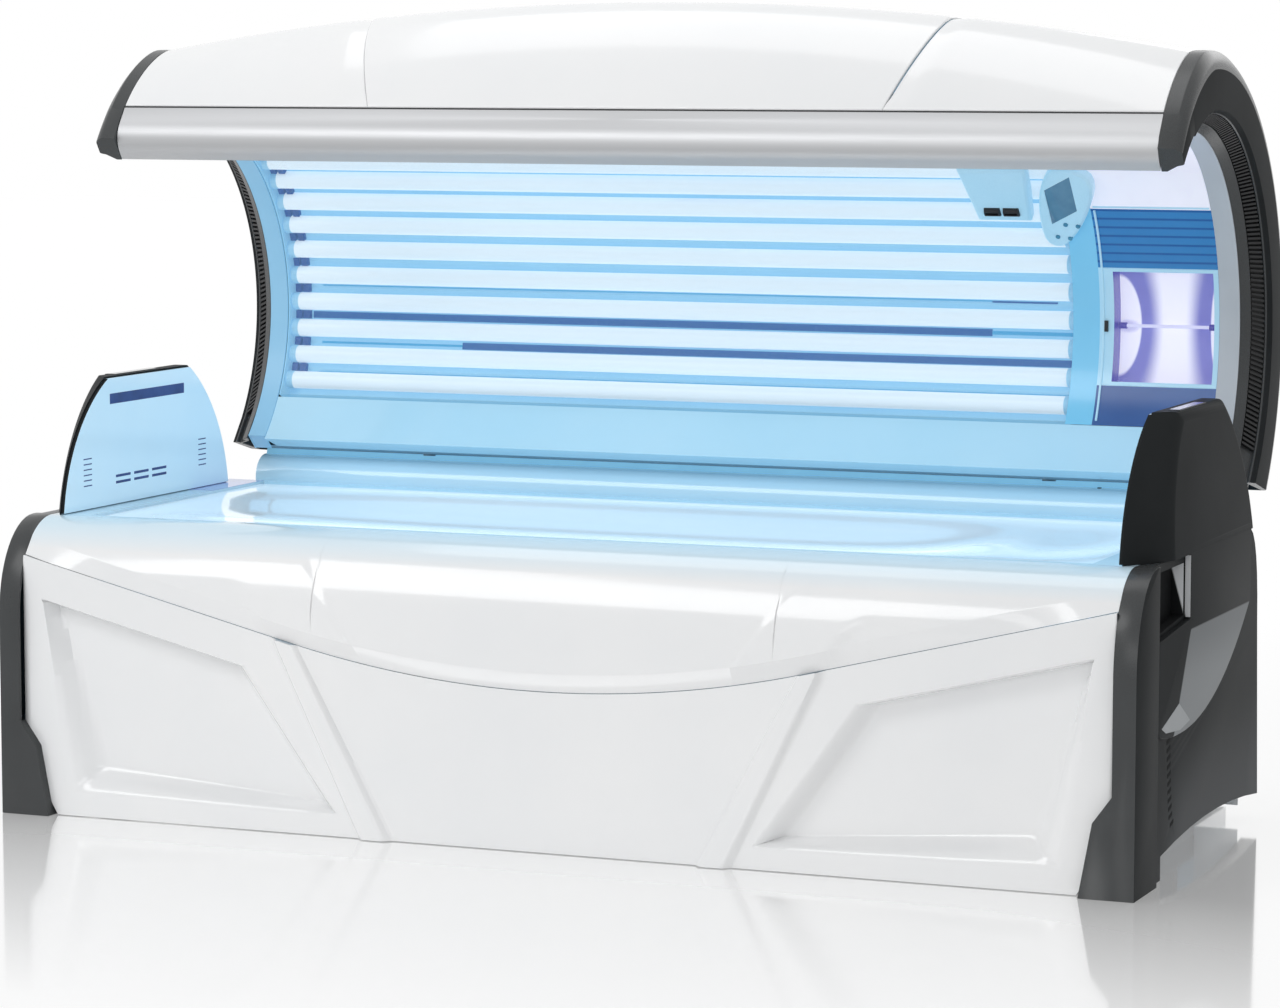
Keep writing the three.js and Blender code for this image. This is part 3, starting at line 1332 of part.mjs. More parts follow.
function springRod(side) {
  const slotHalf = (SPRING_ARM - ARM_REACH_MIN) / 2 + SPRING_PIN_R + SPRING_SLOP;
  const slotRise = SPRING_PIN_R + SPRING_SLOP;
  const x = springX(side);
  const halfWidth = SPRING_EYE_WIDTH / 2;
  const eye = block(
    x - halfWidth,
    x + halfWidth,
    ROD_Y - slotHalf - SPRING_EYE_WALL,
    ROD_Y + slotHalf + SPRING_EYE_WALL,
    ARM_PIN_Z - slotRise - SPRING_EYE_WALL,
    ARM_PIN_Z + slotRise + SPRING_EYE_WALL,
  );
  const slot = block(
    x - SPRING_EYE_WIDTH,
    x + SPRING_EYE_WIDTH,
    ROD_Y - slotHalf,
    ROD_Y + slotHalf,
    ARM_PIN_Z - slotRise,
    ARM_PIN_Z + slotRise,
  );
  const rodTop = ARM_PIN_Z - slotRise - SPRING_EYE_WALL / 2;
  const rod = rodAlongZ(ROD_R, x, ROD_Y, CYLINDER_TOP - ROD_INSERTION, rodTop);
  return eye.subtract(slot).add(rod);
}

// Canopy frame

function hingeLug(side) {
  const x = side * HINGE_X;
  const from = x - LUG_THICK / 2;
  const to = x + LUG_THICK / 2;
  const eye = rodAlongX(LUG_EYE_R, from, to, HINGE_Y, HINGE_Z);
  const clear = at(
    HINGE_Y + LUG_CLEAR_R * Math.cos(radians(LUG_CLEAR_ANGLE)),
    HINGE_Z + LUG_CLEAR_R * Math.sin(radians(LUG_CLEAR_ANGLE)),
  );
  const neck = at(
    HINGE_Y + LUG_NECK_R * Math.cos(radians(LUG_NECK_ANGLE)),
    HINGE_Z + LUG_NECK_R * Math.sin(radians(LUG_NECK_ANGLE)),
  );
  const top = arcPlace((REFLECTOR_R + RIB_OUTER_R) / 2, BEAM_LOW_ANGLE).y;
  const hem = arcPlace(OUTER_R - COVER_WALL, LOW_ANGLE_OUT);
  const arm = prism([
    at(HINGE_Y, HINGE_Z - LUG_EYE_R),
    at(HINGE_Y + LUG_REACH, HINGE_Z - LUG_EYE_R),
    at(HINGE_Y + LUG_REACH, HINGE_Z + LUG_EYE_R),
    at(hem.x - RUNNING_GAP, hem.y - 2 * RUNNING_GAP),
    at(hem.x - RUNNING_GAP, top),
    at(neck.x, top),
    neck,
    at(clear.x - RUNNING_GAP / 2, (clear.y + neck.y) / 2),
    clear,
    at(HINGE_Y, clear.y),
  ], from, to);
  const pinY = HINGE_Y + ARM_REACH_MIN;
  const tail = prism([
    at(HINGE_Y + LUG_EYE_R, HINGE_Z),
    at(HINGE_Y + LUG_EYE_R, HINGE_Z - LUG_EYE_R),
    at(pinY, ARM_PIN_Z - 2 * SPRING_PIN_R),
    at(pinY + 2 * SPRING_PIN_R, ARM_PIN_Z),
    at(pinY, ARM_PIN_Z + 2 * SPRING_PIN_R),
    at(HINGE_Y + LUG_REACH, HINGE_Z),
  ], from, to);
  const pinEnd = x + side * (EYE_NEAR + ARM_PIN_LENGTH - LUG_THICK / 2);
  const pin = rodAlongX(SPRING_PIN_R, x, pinEnd, pinY, ARM_PIN_Z);
  const bore = rodAlongX(runningBore(PIN_R), from - 1, to + 1, HINGE_Y, HINGE_Z);
  return join([eye, arm, tail, pin]).subtract(bore);
}

function frameRib(x) {
  const angles = arcAngles(BAR_TOP_ANGLE, RIB_LOW_ANGLE);
  const inner = REFLECTOR_R + SHEET + ARC_GAP;
  const outer = (a) => Math.min(RIB_OUTER_R, outerRadius(a) - COVER_WALL - RUNNING_GAP);
  const half = RIB_THICK / 2;
  return arcSweep((a) => [
    [x - half, inner],
    [x + half, inner],
    [x + half, outer(a)],
    [x - half, outer(a)],
  ], angles);
}

function longBeam(angle) {
  const centre = arcPlace((REFLECTOR_R + RIB_OUTER_R) / 2, angle);
  const reach = RIB_X + RIB_THICK / 2;
  const bar = (wall) => {
    const half = BEAM_SIZE / 2 - wall;
    return block(
      -reach - wall,
      reach + wall,
      centre.x - half,
      centre.x + half,
      centre.y - half,
      centre.y + half,
    );
  };
  return { body: bar(0), bore: bar(BEAM_WALL) };
}

// Upper facet of the bar, from the nose to the cover's edge, and its inward normal
const NOSE = arcPlace(NOSE_R, NOSE_ANGLE);
const BAR_TOP = arcPlace(BAR_TOP_R, BAR_TOP_ANGLE);
const BAR_LOW = arcPlace(TUNNEL_R + RUNNING_GAP, NOSE_ANGLE);

function barOffset(point, depth) {
  const along = BAR_TOP.clone().sub(NOSE).normalize();
  return at(point.x + along.y * depth, point.y - along.x * depth);
}

function frontBeam() {
  const near = BAR_WALL + CLEARANCE;
  const far = near + BEAM_THICK;
  const reach = RIB_X + RIB_THICK / 2;
  const low = NOSE.clone().lerp(BAR_TOP, BEAM_LOW_SHARE);
  const high = NOSE.clone().lerp(BAR_TOP, BEAM_HIGH_SHARE);
  const section = [barOffset(low, near), barOffset(high, near), barOffset(high, far), barOffset(low, far)];
  const bore = prism(inset(section, BEAM_WALL), -reach - 1, reach + 1);
  return { body: prism(section, -reach, reach), bore };
}

function canopyFrame() {
  const ribs = [RIB_X, HINGE_X].flatMap((x) => [frameRib(-x), frameRib(x)]);
  const beams = [longBeam(BEAM_TOP_ANGLE), longBeam(BEAM_LOW_ANGLE), frontBeam()];
  const lugs = SIDES.map(({ side }) => hingeLug(side));
  const bores = beams.map((beam) => beam.bore);
  return join([cut(join([...ribs, ...beams.map((beam) => beam.body)]), bores), ...lugs]);
}

// Canopy skin

const COVER_ANGLES = [
  ...spread(BAR_TOP_ANGLE, UPRIGHT_ANGLE, COVER_STEPS_FRONT).slice(0, -1),
  ...spread(UPRIGHT_ANGLE, 0, COVER_STEPS_BACK).slice(0, -1),
  ...spread(0, LOW_ANGLE_OUT, COVER_STEPS_LOW),
];

// Ring of the skin at place x; flare leans the ring outwards as it climbs
function coverRing(x, flare) {
  const point = (r, a) => {
    const share = crownShare(a);
    const place = x + flare * share;
    const p = arcPoint(place, r, a);
    p.z += crownRise(place, a);
    return p;
  };
  const outer = COVER_ANGLES.map((a) => point(outerRadius(a), a));
  const inner = COVER_ANGLES.map((a) => point(outerRadius(a) - COVER_WALL, a)).reverse();
  return [...outer, ...inner];
}

function coverSection(from, to, flareFrom, flareTo, steps) {
  const rings = spread(0, 1, steps).map((t) => coverRing(lerp(from, to, t), lerp(flareFrom, flareTo, t)));
  return loft(rings, (p) => at(p.y, p.z));
}

function handleBar() {
  const under = BAR_LOW.clone().sub(NOSE).normalize();
  const lift = at(-under.y * BAR_WALL, under.x * BAR_WALL);
  const push = barOffset(at(0, 0), BAR_WALL);
  const miter = push.clone().add(lift).divideScalar(1 + push.dot(lift) / BAR_WALL ** 2);
  const outer = [BAR_LOW, NOSE, BAR_TOP];
  const inner = [barOffset(BAR_TOP, BAR_WALL), NOSE.clone().add(miter), BAR_LOW.clone().add(lift)];
  const reach = COVER_HALF - CLEARANCE;
  const seam = BAR_TOP_ANGLE + degrees(2 * CLEARANCE / BAR_TOP_R);
  const trim = prism([
    arcPlace(BAR_TOP_R - BAR_WALL * 4, seam),
    arcPlace(BAR_TOP_R + BAR_WALL * 4, seam),
    arcPlace(BAR_TOP_R + BAR_WALL * 4, seam - ARC_STEP),
    arcPlace(BAR_TOP_R - BAR_WALL * 4, seam - ARC_STEP),
  ], -BED_HALF, BED_HALF);
  return prism([...outer, ...inner], -reach, reach).subtract(trim);
}

// Canopy ends

// Lower end of the canopy at radius r: it slopes up and back
function lowAngle(r) {
  return lerp(LOW_ANGLE_IN, LOW_ANGLE_OUT, (r - TUNNEL_R) / (OUTER_R - TUNNEL_R));
}

function endSweep(side, section) {
  const whole = arcAngles(NOSE_ANGLE, LOW_ANGLE_OUT).slice(0, -1);
  const rings = whole.map((a) => section(a).map(([x, r]) => arcPoint(side * x, r, a)));
  const last = section(LOW_ANGLE_OUT).map(([x, r]) => arcPoint(side * x, r, lowAngle(r)));
  return loft([...rings, last], (p) => at(p.x, Math.hypot(p.y - TUNNEL_Y, p.z - TUNNEL_Z)));
}

function endScale(a) {
  return (outerRadius(a) - TUNNEL_R) / (OUTER_R - TUNNEL_R);
}

// A place on the flared slope of a canopy end, by the way along it and the depth below it
function slopePlace(along, depth, scale) {
  const x = END_LIP_FLARE * along - END_LIP_DEPTH * depth;
  const r = END_LIP_DEPTH * along + END_LIP_FLARE * depth;
  return [END_LIP_X + x / END_SLOPE, TUNNEL_R + (r / END_SLOPE) * scale];
}

function canopyEnd(side) {
  const section = (a) => {
    const outer = outerRadius(a);
    const scale = endScale(a);
    const back = GRILLE_GROOVE + END_WALL;
    const face = CANOPY_HALF;
    return [
      slopePlace(0, 0, scale),
      slopePlace(GRILLE_START, 0, scale),
      slopePlace(GRILLE_START, GRILLE_GROOVE, scale),
      slopePlace(GRILLE_END, GRILLE_GROOVE, scale),
      slopePlace(GRILLE_END, 0, scale),
      slopePlace(END_SLOPE, 0, scale),
      [face, TUNNEL_R + (END_LIP_DEPTH + END_WALL) * scale],
      [face, outer - 2 * END_ROUND * scale],
      [face - END_ROUND / 4, outer - END_ROUND * scale],
      [face - END_ROUND, outer],
      [COVER_HALF + CLEARANCE, outer],
      [COVER_HALF + CLEARANCE, outer - END_WALL],
      [face - back, outer - END_WALL - END_ROUND * scale],
      slopePlace(END_SLOPE, back, scale),
      slopePlace(GRILLE_START - END_WALL, back, scale),
      [END_LIP_X, TUNNEL_R + END_WALL],
    ];
  };
  const nose = prism([
    arcPlace(TUNNEL_R - BAR_WALL, NOSE_ANGLE + 1),
    arcPlace(NOSE_R, NOSE_ANGLE + 1),
    arcPlace(NOSE_R, NOSE_ANGLE - ARC_STEP / 2),
    arcPlace(TUNNEL_R - BAR_WALL, NOSE_ANGLE - ARC_STEP / 2),
  ], side * (END_LIP_X - 1), side * (COVER_HALF + CLEARANCE));
  return endSweep(side, section).subtract(nose);
}

// Radius on the flat facet of a canopy end at angle a, between the two rings that carry it
function facetRadius(along, depth, a) {
  const rings = arcAngles(NOSE_ANGLE, LOW_ANGLE_OUT);
  const next = rings.findIndex((ring) => ring < a);
  const first = rings[next - 1];
  const ra = slopePlace(along, depth, endScale(first))[1];
  const rb = slopePlace(along, depth, endScale(rings[next]))[1];
  const last = next === rings.length - 1 ? lowAngle(rb) : rings[next];
  const span = ra * rb * Math.sin(radians(first - last));
  return span / (ra * Math.sin(radians(first - a)) + rb * Math.sin(radians(a - last)));
}

// Ribbed air outlet: a band in the groove whose face steps in and out
function ventGrille(side) {
  const low = GRILLE_START + GRILLE_SIDE_GAP;
  const high = GRILLE_END - GRILLE_SIDE_GAP;
  const floor = GRILLE_GROOVE - CLEARANCE;
  const pitch = (GRILLE_TOP_ANGLE - GRILLE_LOW_ANGLE) / GRILLE_RIBS;
  const ring = (a, crest) => {
    const top = floor * (1 - crest);
    return [[low, floor], [low, top], [high, top], [high, floor]].map(([along, depth]) => {
      const [x] = slopePlace(along, depth, 1);
      return arcPoint(side * x, facetRadius(along, depth, a), a);
    });
  };
  const rings = spread(0, GRILLE_RIBS - 1, GRILLE_RIBS - 1).flatMap((i) => {
    const a = GRILLE_TOP_ANGLE - pitch * (i + 1 / 2);
    return [ring(a + pitch / 4, 1), ring(a - pitch / 4, GRILLE_VALLEY)];
  });
  return loft(rings, (p) => at(p.x, Math.hypot(p.y - TUNNEL_Y, p.z - TUNNEL_Z)));
}

function endRim(side) {
  const outer = END_LIP_X - CLEARANCE;
  const inner = outer - RIM_WIDTH;
  const section = () => [
    [inner, TUNNEL_R],
    [outer, TUNNEL_R],
    [outer, TUNNEL_R + RIM_FLANGE],
    [outer - RIM_WALL, TUNNEL_R + RIM_FLANGE],
    [outer - RIM_WALL, TUNNEL_R + RIM_WALL],
    [inner, TUNNEL_R + RIM_WALL],
  ].map(([x, r]) => [side * x, r]);
  return arcSweep(section, arcAngles(NOSE_ANGLE - ARC_STEP / 2, LOW_ANGLE_IN + 1));
}

// Canopy lamps

function canopyAcrylic() {
  return arcBlock(
    LAMP_FIELD_LEFT,
    LAMP_FIELD_RIGHT,
    ACRYLIC_R,
    ACRYLIC_R + ACRYLIC_CANOPY_SHEET,
    FACE_TOP_ANGLE,
    REFLECTOR_LOW_ANGLE,
  );
}

function canopyLampBank() {
  const angles = spread(0, CANOPY_LAMPS - 1, CANOPY_LAMPS - 1).map(
    (i) => LAMP_FIRST_ANGLE + i * LAMP_PITCH_ANGLE,
  );
  const top = angles[CANOPY_LAMPS - 1] + LAMP_PITCH_ANGLE / 2;
  const low = angles[0] - LAMP_PITCH_ANGLE / 2;
  const near = ACRYLIC_R + ACRYLIC_CANOPY_SHEET + ARC_GAP;
  const far = REFLECTOR_R - ARC_GAP;
  const holders = [LAMP_FIELD_LEFT, LAMP_FIELD_RIGHT - HOLDER_THICK].map(
    (x) => arcBlock(x, x + HOLDER_THICK, near, far, top, low),
  );
  const tube = (a, radius, from, to, sides) => {
    const place = arcPlace(LAMP_CIRCLE_R, a);
    return rodAlongX(radius, from, to, place.x, place.y, sides);
  };
  const from = LAMP_FIELD_LEFT + HOLDER_THICK / 2;
  const to = LAMP_FIELD_RIGHT - HOLDER_THICK / 2;
  const tubes = angles.map((a) => tube(a, LAMP_R, from, to, LAMP_SIDES));
  const bores = angles.map(
    (a) => tube(a, LAMP_R - LAMP_WALL, LAMP_FIELD_LEFT - 1, to - LAMP_WALL, LAMP_BORE_SIDES),
  );
  return cut(join([...holders, ...tubes]), bores);
}

function canopyReflector() {
  return arcBlock(
    LAMP_FIELD_LEFT,
    LAMP_FIELD_RIGHT,
    REFLECTOR_R,
    REFLECTOR_R + SHEET,
    REFLECTOR_TOP_ANGLE,
    REFLECTOR_LOW_ANGLE,
  );
}

function lowerTrim() {
  const arc = (r, from, to) => spread(from, to, COVER_STEPS_LOW + 2).map((a) => arcPlace(r, a));
  const outside = ACRYLIC_R + TRIM_WALL;
  const outline = [
    ...arc(ACRYLIC_R, TRIM_TOP_ANGLE, LOW_ANGLE_IN),
    arcPlace(TRIM_RETURN_R, lowAngle(TRIM_RETURN_R)),
    arcPlace(TRIM_RETURN_R, lowAngle(TRIM_RETURN_R) + TRIM_RETURN_TURN),
    arcPlace(outside, LOW_ANGLE_IN + TRIM_CORNER_TURN),
    ...arc(outside, LOW_ANGLE_IN + TRIM_INNER_TURN, TRIM_TOP_ANGLE),
  ];
  const reach = RIM_INNER - CLEARANCE;
  return prism(outline, -reach, reach);
}

// Face tanner at the head end

function faceHousing() {
  const back = ACRYLIC_R + FACE_SKIN;
  const skin = arcBlock(FACE_LEFT, FACE_RIGHT, ACRYLIC_R, back, FACE_TOP_ANGLE, FACE_LOW_ANGLE);
  const wall = FACE_SKIN;
  const span = FACE_WINDOW_ANGLE;
  const margin = degrees(wall / TUNNEL_R);
  const tub = arcBlock(
    FACE_WINDOW_LEFT - wall,
    FACE_WINDOW_RIGHT + wall,
    ACRYLIC_R + 1,
    FACE_TUB_R + SHEET,
    span + margin,
    -span - margin,
  );
  const window = arcBlock(
    FACE_WINDOW_LEFT,
    FACE_WINDOW_RIGHT,
    ACRYLIC_R - 1,
    FACE_TUB_R,
    span,
    -span,
  );
  const grooves = spread(0, FACE_GROOVES - 1, FACE_GROOVES - 1).map((i) => {
    const a = FACE_GROOVE_FIRST + i * FACE_GROOVE_PITCH;
    return arcBlock(
      FACE_WINDOW_LEFT,
      FACE_WINDOW_RIGHT,
      ACRYLIC_R - 1,
      ACRYLIC_R + FACE_GROOVE_DEPTH,
      a + FACE_GROOVE_WIDTH,
      a,
    );
  });
  return cut(skin.add(tub), [window, ...grooves]);
}

function faceGlass() {
  const gap = degrees(CLEARANCE / TUNNEL_R);
  return arcBlock(
    FACE_WINDOW_LEFT + CLEARANCE,
    FACE_WINDOW_RIGHT - CLEARANCE,
    ACRYLIC_R + 1,
    ACRYLIC_R + 1 + FACE_GLASS_SHEET,
    FACE_WINDOW_ANGLE - gap,
    -FACE_WINDOW_ANGLE + gap,
  );
}

function faceLamp() {
  const place = arcPlace(BURNER_CIRCLE_R, 0);
  const from = FACE_WINDOW_LEFT + CLEARANCE;
  const to = FACE_WINDOW_RIGHT - CLEARANCE;
  const back = TUNNEL_Y + FACE_TUB_R * Math.cos(radians(ARC_STEP / 2)) - CLEARANCE;
  const burner = rodAlongX(BURNER_R, from, to, place.x, place.y);
  const half = BURNER_HOLDER / 2;
  const holders = [from, to - BURNER_HOLDER].map(
    (x) => block(x, x + BURNER_HOLDER, place.x - half, back, place.y - half, place.y + half),
  );
  return join([burner, ...holders]);
}

// Control pod and air outlet stand on the tunnel wall, each in a group whose z points to the tunnel axis

function wallGroup(x, r, a) {
  const group = new THREE.Group();
  group.position.copy(arcPoint(x, r, a));
  group.rotation.x = radians(a + UPRIGHT_ANGLE);
  bed.add(group);
  return group;
}

// Hollow of the tunnel as it lies in such a group, with the facets of the tunnel wall
function wallHollow(middle, angle) {
  const radius = ACRYLIC_R - CLEARANCE;
  const geometry = new THREE.CylinderGeometry(radius, radius, BED_LENGTH, Math.round(360 / ARC_STEP));
  geometry.rotateZ(Math.PI / 2);
  geometry.rotateX(radians(-angle));
  geometry.translate(0, 0, middle);
  return solidFrom(geometry);
}

function podOutline() {
  return spread(0, 2 * Math.PI, 2 * ROUND_SIDES).slice(0, -1).map((t) => {
    const v = POD_HALF_LENGTH * Math.sin(t);
    const taper = 1 + POD_TAPER * Math.sin(t);
    const u = POD_HALF_WIDTH * taper * Math.cos(t) * Math.abs(Math.cos(t)) ** -POD_TAPER;
    return at(u, v).rotateAround(at(0, 0), radians(POD_TILT));
  });
}

function screenOutline(margin) {
  const w = SCREEN_HALF_WIDTH + margin;
  const h = SCREEN_HALF_HEIGHT + margin;
  const corner = (u, v) => at(u, SCREEN_CENTRE_V + v + SCREEN_SHEAR * (u / SCREEN_HALF_WIDTH));
  return [corner(-w, -h), corner(w, -h), corner(w, h), corner(-w, h)];
}

function keyPlaces() {
  return [0, 1].flatMap((row) => [0, 1].map((column) => at(
    KEY_FIRST_U + column * KEY_STEP_U + row * KEY_ROW_U,
    KEY_FIRST_V + column * KEY_STEP_V + row * KEY_ROW_V,
  )));
}

function addControlPod() {
  const group = wallGroup(POD_X, POD_MIDDLE_R, POD_ANGLE);
  const body = plate(podOutline(), -POD_ROOT, POD_THICK, POD_BEVEL)
    .intersect(wallHollow(POD_MIDDLE_R, POD_ANGLE));
  const sunk = plate(screenOutline(CLEARANCE), POD_THICK - SCREEN_SHEET, POD_THICK + 1);
  const keyFloor = POD_THICK - KEY_DEPTH;
  const wells = keyPlaces().map((p) => rodAlongZ(
    KEY_R + CLEARANCE,
    p.x,
    p.y,
    keyFloor - KEY_TRAVEL - CLEARANCE,
    POD_THICK + 1,
    LAMP_SIDES,
  ));
  addPart('control_pod', cut(body, [sunk, ...wells]), blueTrim(), group);
  const screen = plate(screenOutline(0), POD_THICK - SCREEN_SHEET + CLEARANCE, POD_THICK);
  addPart('display', screen, finish(0x4b7f9e, 0.2), group);
  keyPlaces().forEach((p, i) => {
    const key = rodAlongZ(KEY_R, p.x, p.y, keyFloor, POD_THICK + KEY_PROUD, LAMP_SIDES);
    addPart(`key_${i + 1}`, key, finish(0x4a90ad, 0.4), group);
  });
}

function addAirOutlet() {
  const group = wallGroup(AIR_X, AIR_MIDDLE_R, AIR_ANGLE);
  const outline = [
    at(-AIR_LOW_HALF, -AIR_HALF_HEIGHT),
    at(AIR_LOW_HALF, -AIR_HALF_HEIGHT),
    at(AIR_TOP_HALF, AIR_HALF_HEIGHT),
    at(-AIR_TOP_HALF, AIR_HALF_HEIGHT),
  ];
  const centre = AIR_THICK - NOZZLE_SUNK;
  const seat = (u, radius, length) => {
    const geometry = new THREE.CylinderGeometry(radius, radius, length, ROUND_SIDES);
    geometry.rotateZ(Math.PI / 2);
    geometry.translate(u, NOZZLE_V, centre);
    return solidFrom(geometry);
  };
  const seats = [-NOZZLE_U, NOZZLE_U].map(
    (u) => seat(u, NOZZLE_R + NOZZLE_GAP, NOZZLE_LENGTH + 2 * NOZZLE_GAP),
  );
  const body = plate(outline, -POD_ROOT, AIR_THICK, AIR_BEVEL)
    .intersect(wallHollow(AIR_MIDDLE_R, AIR_ANGLE));
  addPart('nozzle_housing', cut(body, seats), blueTrim(), group);
  SIDES.forEach(({ side, hand }) => {
    const u = side * NOZZLE_U;
    const half = NOZZLE_LENGTH / 2 - SHEET;
    const slot = block(
      u - half,
      u + half,
      NOZZLE_V - NOZZLE_SLOT / 2,
      NOZZLE_V + NOZZLE_SLOT / 2,
      centre,
      centre + NOZZLE_R + 1,
    );
    addPart(`nozzle_${hand}`, seat(u, NOZZLE_R, NOZZLE_LENGTH).subtract(slot), blackPlastic(), group);
  });
}

// Assembly

addPart('base_frame', baseFrame(), steel());
SIDES.forEach(({ side, hand }) => {
  addPart(`foot_front_${hand}`, levellingFoot(side * FOOT_X, FRAME_FRONT + RAIL / 2), blackPlastic());
  addPart(`foot_rear_${hand}`, levellingFoot(side * FOOT_X, FRAME_REAR - RAIL / 2), blackPlastic());
  addPart(`bench_trestle_${hand}`, benchTrestle(side), steel());
  addPart(`hinge_post_${hand}`, hingePost(side), steel());
  addPart(`end_cap_${hand}`, endCap(side), charcoal());
  addPart(`tower_shell_${hand}`, towerShell(side), charcoal());
  addPart(`tower_liner_${hand}`, towerLiner(side), glow());
  addPart(`spring_cylinder_${hand}`, springCylinder(side), blackPlastic());
  addPart(`spring_rod_${hand}`, springRod(side), zinc());
  const pinHalf = LUG_THICK / 2 + POST_THICK + 2 * CLEARANCE;
  const pin = rodAlongX(PIN_R, side * HINGE_X - pinHalf, side * HINGE_X + pinHalf, HINGE_Y, HINGE_Z);
  addPart(`hinge_pin_${hand}`, pin, zinc());
  addPart(`canopy_end_${hand}`, canopyEnd(side), charcoal());
  addPart(`vent_grille_${hand}`, ventGrille(side), blackPlastic());
  addPart(`end_rim_${hand}`, endRim(side), paleRim());
});
addPart('bench_surround', benchSurround(), whiteGloss());
addPart('hinge_cover', hingeCover(), whiteGloss());
addPart('service_panel', servicePanel(), whiteGloss());
addPart('rear_panel', rearPanel(), whiteGloss());
addPart('cable_gland', cableGland(), blackPlastic());
addPart('bench_acrylic', benchAcrylic(), clear());
addPart('bench_lamp_bank', benchLampBank(), glow());
addPart('ballast_tray', ballastTray(), zinc());
addPart('fan_housing', fanHousing(), blackPlastic());
addPart('fan_rotor', fanRotor(), blackPlastic());
addPart('canopy_frame', canopyFrame(), steel());
const coverEnd = COVER_HALF - CLEARANCE;
const seamGap = CLEARANCE / 2;
const seam = SEAM_X + seamGap;
const middle = SEAM_X - seamGap;
const coverCentre = coverSection(-middle, middle, -SEAM_FLARE, SEAM_FLARE, COVER_STEPS_MIDDLE);
addPart('cover_left', coverSection(-coverEnd, -seam, 0, -SEAM_FLARE, COVER_STEPS_X), whiteGloss());
addPart('cover_centre', coverCentre, whiteGloss());
addPart('cover_right', coverSection(seam, coverEnd, SEAM_FLARE, 0, COVER_STEPS_X), whiteGloss());
addPart('handle_bar', handleBar(), brushed());
addPart('canopy_acrylic', canopyAcrylic(), clear());
addPart('canopy_lamp_bank', canopyLampBank(), glow());
addPart('canopy_reflector', canopyReflector(), mirror());
addPart('lower_trim', lowerTrim(), blueTrim());
addPart('face_housing', faceHousing(), blueTrim());
addPart('face_glass', faceGlass(), clear());
addPart('face_lamp', faceLamp(), glow());
addControlPod();
addAirOutlet();

bed.position.y = -REAR_DEPTH / 2;

export default bed;
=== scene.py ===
import math
import bpy
import bmesh
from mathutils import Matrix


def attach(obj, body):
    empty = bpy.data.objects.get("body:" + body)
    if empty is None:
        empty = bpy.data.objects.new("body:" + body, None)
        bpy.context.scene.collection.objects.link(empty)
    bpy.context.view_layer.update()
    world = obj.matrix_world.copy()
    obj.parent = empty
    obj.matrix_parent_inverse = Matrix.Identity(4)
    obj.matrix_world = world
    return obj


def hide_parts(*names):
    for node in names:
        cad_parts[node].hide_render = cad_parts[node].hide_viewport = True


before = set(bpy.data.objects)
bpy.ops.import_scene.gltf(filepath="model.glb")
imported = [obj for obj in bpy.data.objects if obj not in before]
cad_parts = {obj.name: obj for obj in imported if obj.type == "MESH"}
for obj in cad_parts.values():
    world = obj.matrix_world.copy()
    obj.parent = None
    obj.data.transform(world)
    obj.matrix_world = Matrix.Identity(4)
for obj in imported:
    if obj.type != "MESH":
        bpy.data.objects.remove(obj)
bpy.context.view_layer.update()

# Places follow the part's source: millimetres, x along the bed, y from the front, z up.
MM = 0.001
REAR = 587.498  # y of the scene's origin
TY, TZ, TR = 617.996, 968.004, 403.0  # axis and radius of the tunnel
OUT_R, ROOF_A = 557.0, 93.0  # canopy's outside, and where its roof turns down
BAR_R, BAR_A = 494.0, 115.9  # where the covers meet the bar
NOSE_R, NOSE_A = 459.0, 124.8  # nose of the bar
LOW_IN, LOW_OUT = -45.0, -36.0  # canopy's lower edge, inside and outside
CROWN, COVER_HALF, COVER_END = 95.0, 1100.0, 1099.7  # rise of the roof, and the covers' reach
SEAM_X, SEAM_GAP, FLARE = 546.0, 0.15, 75.0  # seams of the covers and their lean
BENCH, LEDGE, LEDGE_LOW = 592.0, 580.7, 572.7  # bench rim, and the ledge inside it
RIM_Y, RIM_BACK, BENCH_END = 151.7, 897.0, 1130.7  # reach of the flat rim
HINGE_Y, HINGE_Z, BARREL = 1000.0, 592.0, 48.0  # hinge line and the radius of its cover
FRONT_Z, FRONT_R, FRONT_H = 400.0, 137.0, 192.0  # rounded brow
LIP, UNDERCUT, WALL = 36.0, 24.0, 6.0  # lower lip of the brow
BROW_LOW, BROW_RISE, BROW_BEND = 309.0, 66.0, 540.0  # line under the brow


def lerp(a, b, t):
    return a + (b - a) * t


def spread(a, b, n):
    return [lerp(a, b, i / n) for i in range(n + 1)]


def ease(t):
    t = min(1.0, max(0.0, t))
    return t * t * (3 - 2 * t)


def cosd(a):
    return math.cos(math.radians(a))


def sind(a):
    return math.sin(math.radians(a))


def polar(r, a, y=TY, z=TZ):
    """A place in the cross-section, round the tunnel's axis or another one."""
    return (y + r * cosd(a), z + r * sind(a))


def arc(x, r, a):
    return (x, *polar(r, a))


def between(p, q, t):
    return (lerp(p[0], q[0], t), lerp(p[1], q[1], t))


def curve(p, q, r, n):
    """Points of a smooth curve from p to r that leans towards q."""
    return [between(between(p, q, t), between(q, r, t), t) for t in spread(0, 1, n)]


def outer_radius(a):
    """Radius of the covers, which falls from the roof to the bar and on to its nose."""
    if a > BAR_A:
        return lerp(BAR_R, NOSE_R, (a - BAR_A) / (NOSE_A - BAR_A))
    if a > ROOF_A:
        return lerp(OUT_R, BAR_R, ((a - ROOF_A) / (BAR_A - ROOF_A)) ** 1.3)
    return OUT_R


def crown_share(a):
    z = TZ + outer_radius(a) * sind(a)
    foot = TZ + BAR_R * sind(BAR_A) if a > 90 else HINGE_Z
    share = max(0.0, (z - foot) / (TZ + OUT_R - foot))
    return share if a > 90 else share ** 1.5


def crown(x, a):
    return CROWN * (1 - (x / COVER_HALF) ** 2) * crown_share(a)


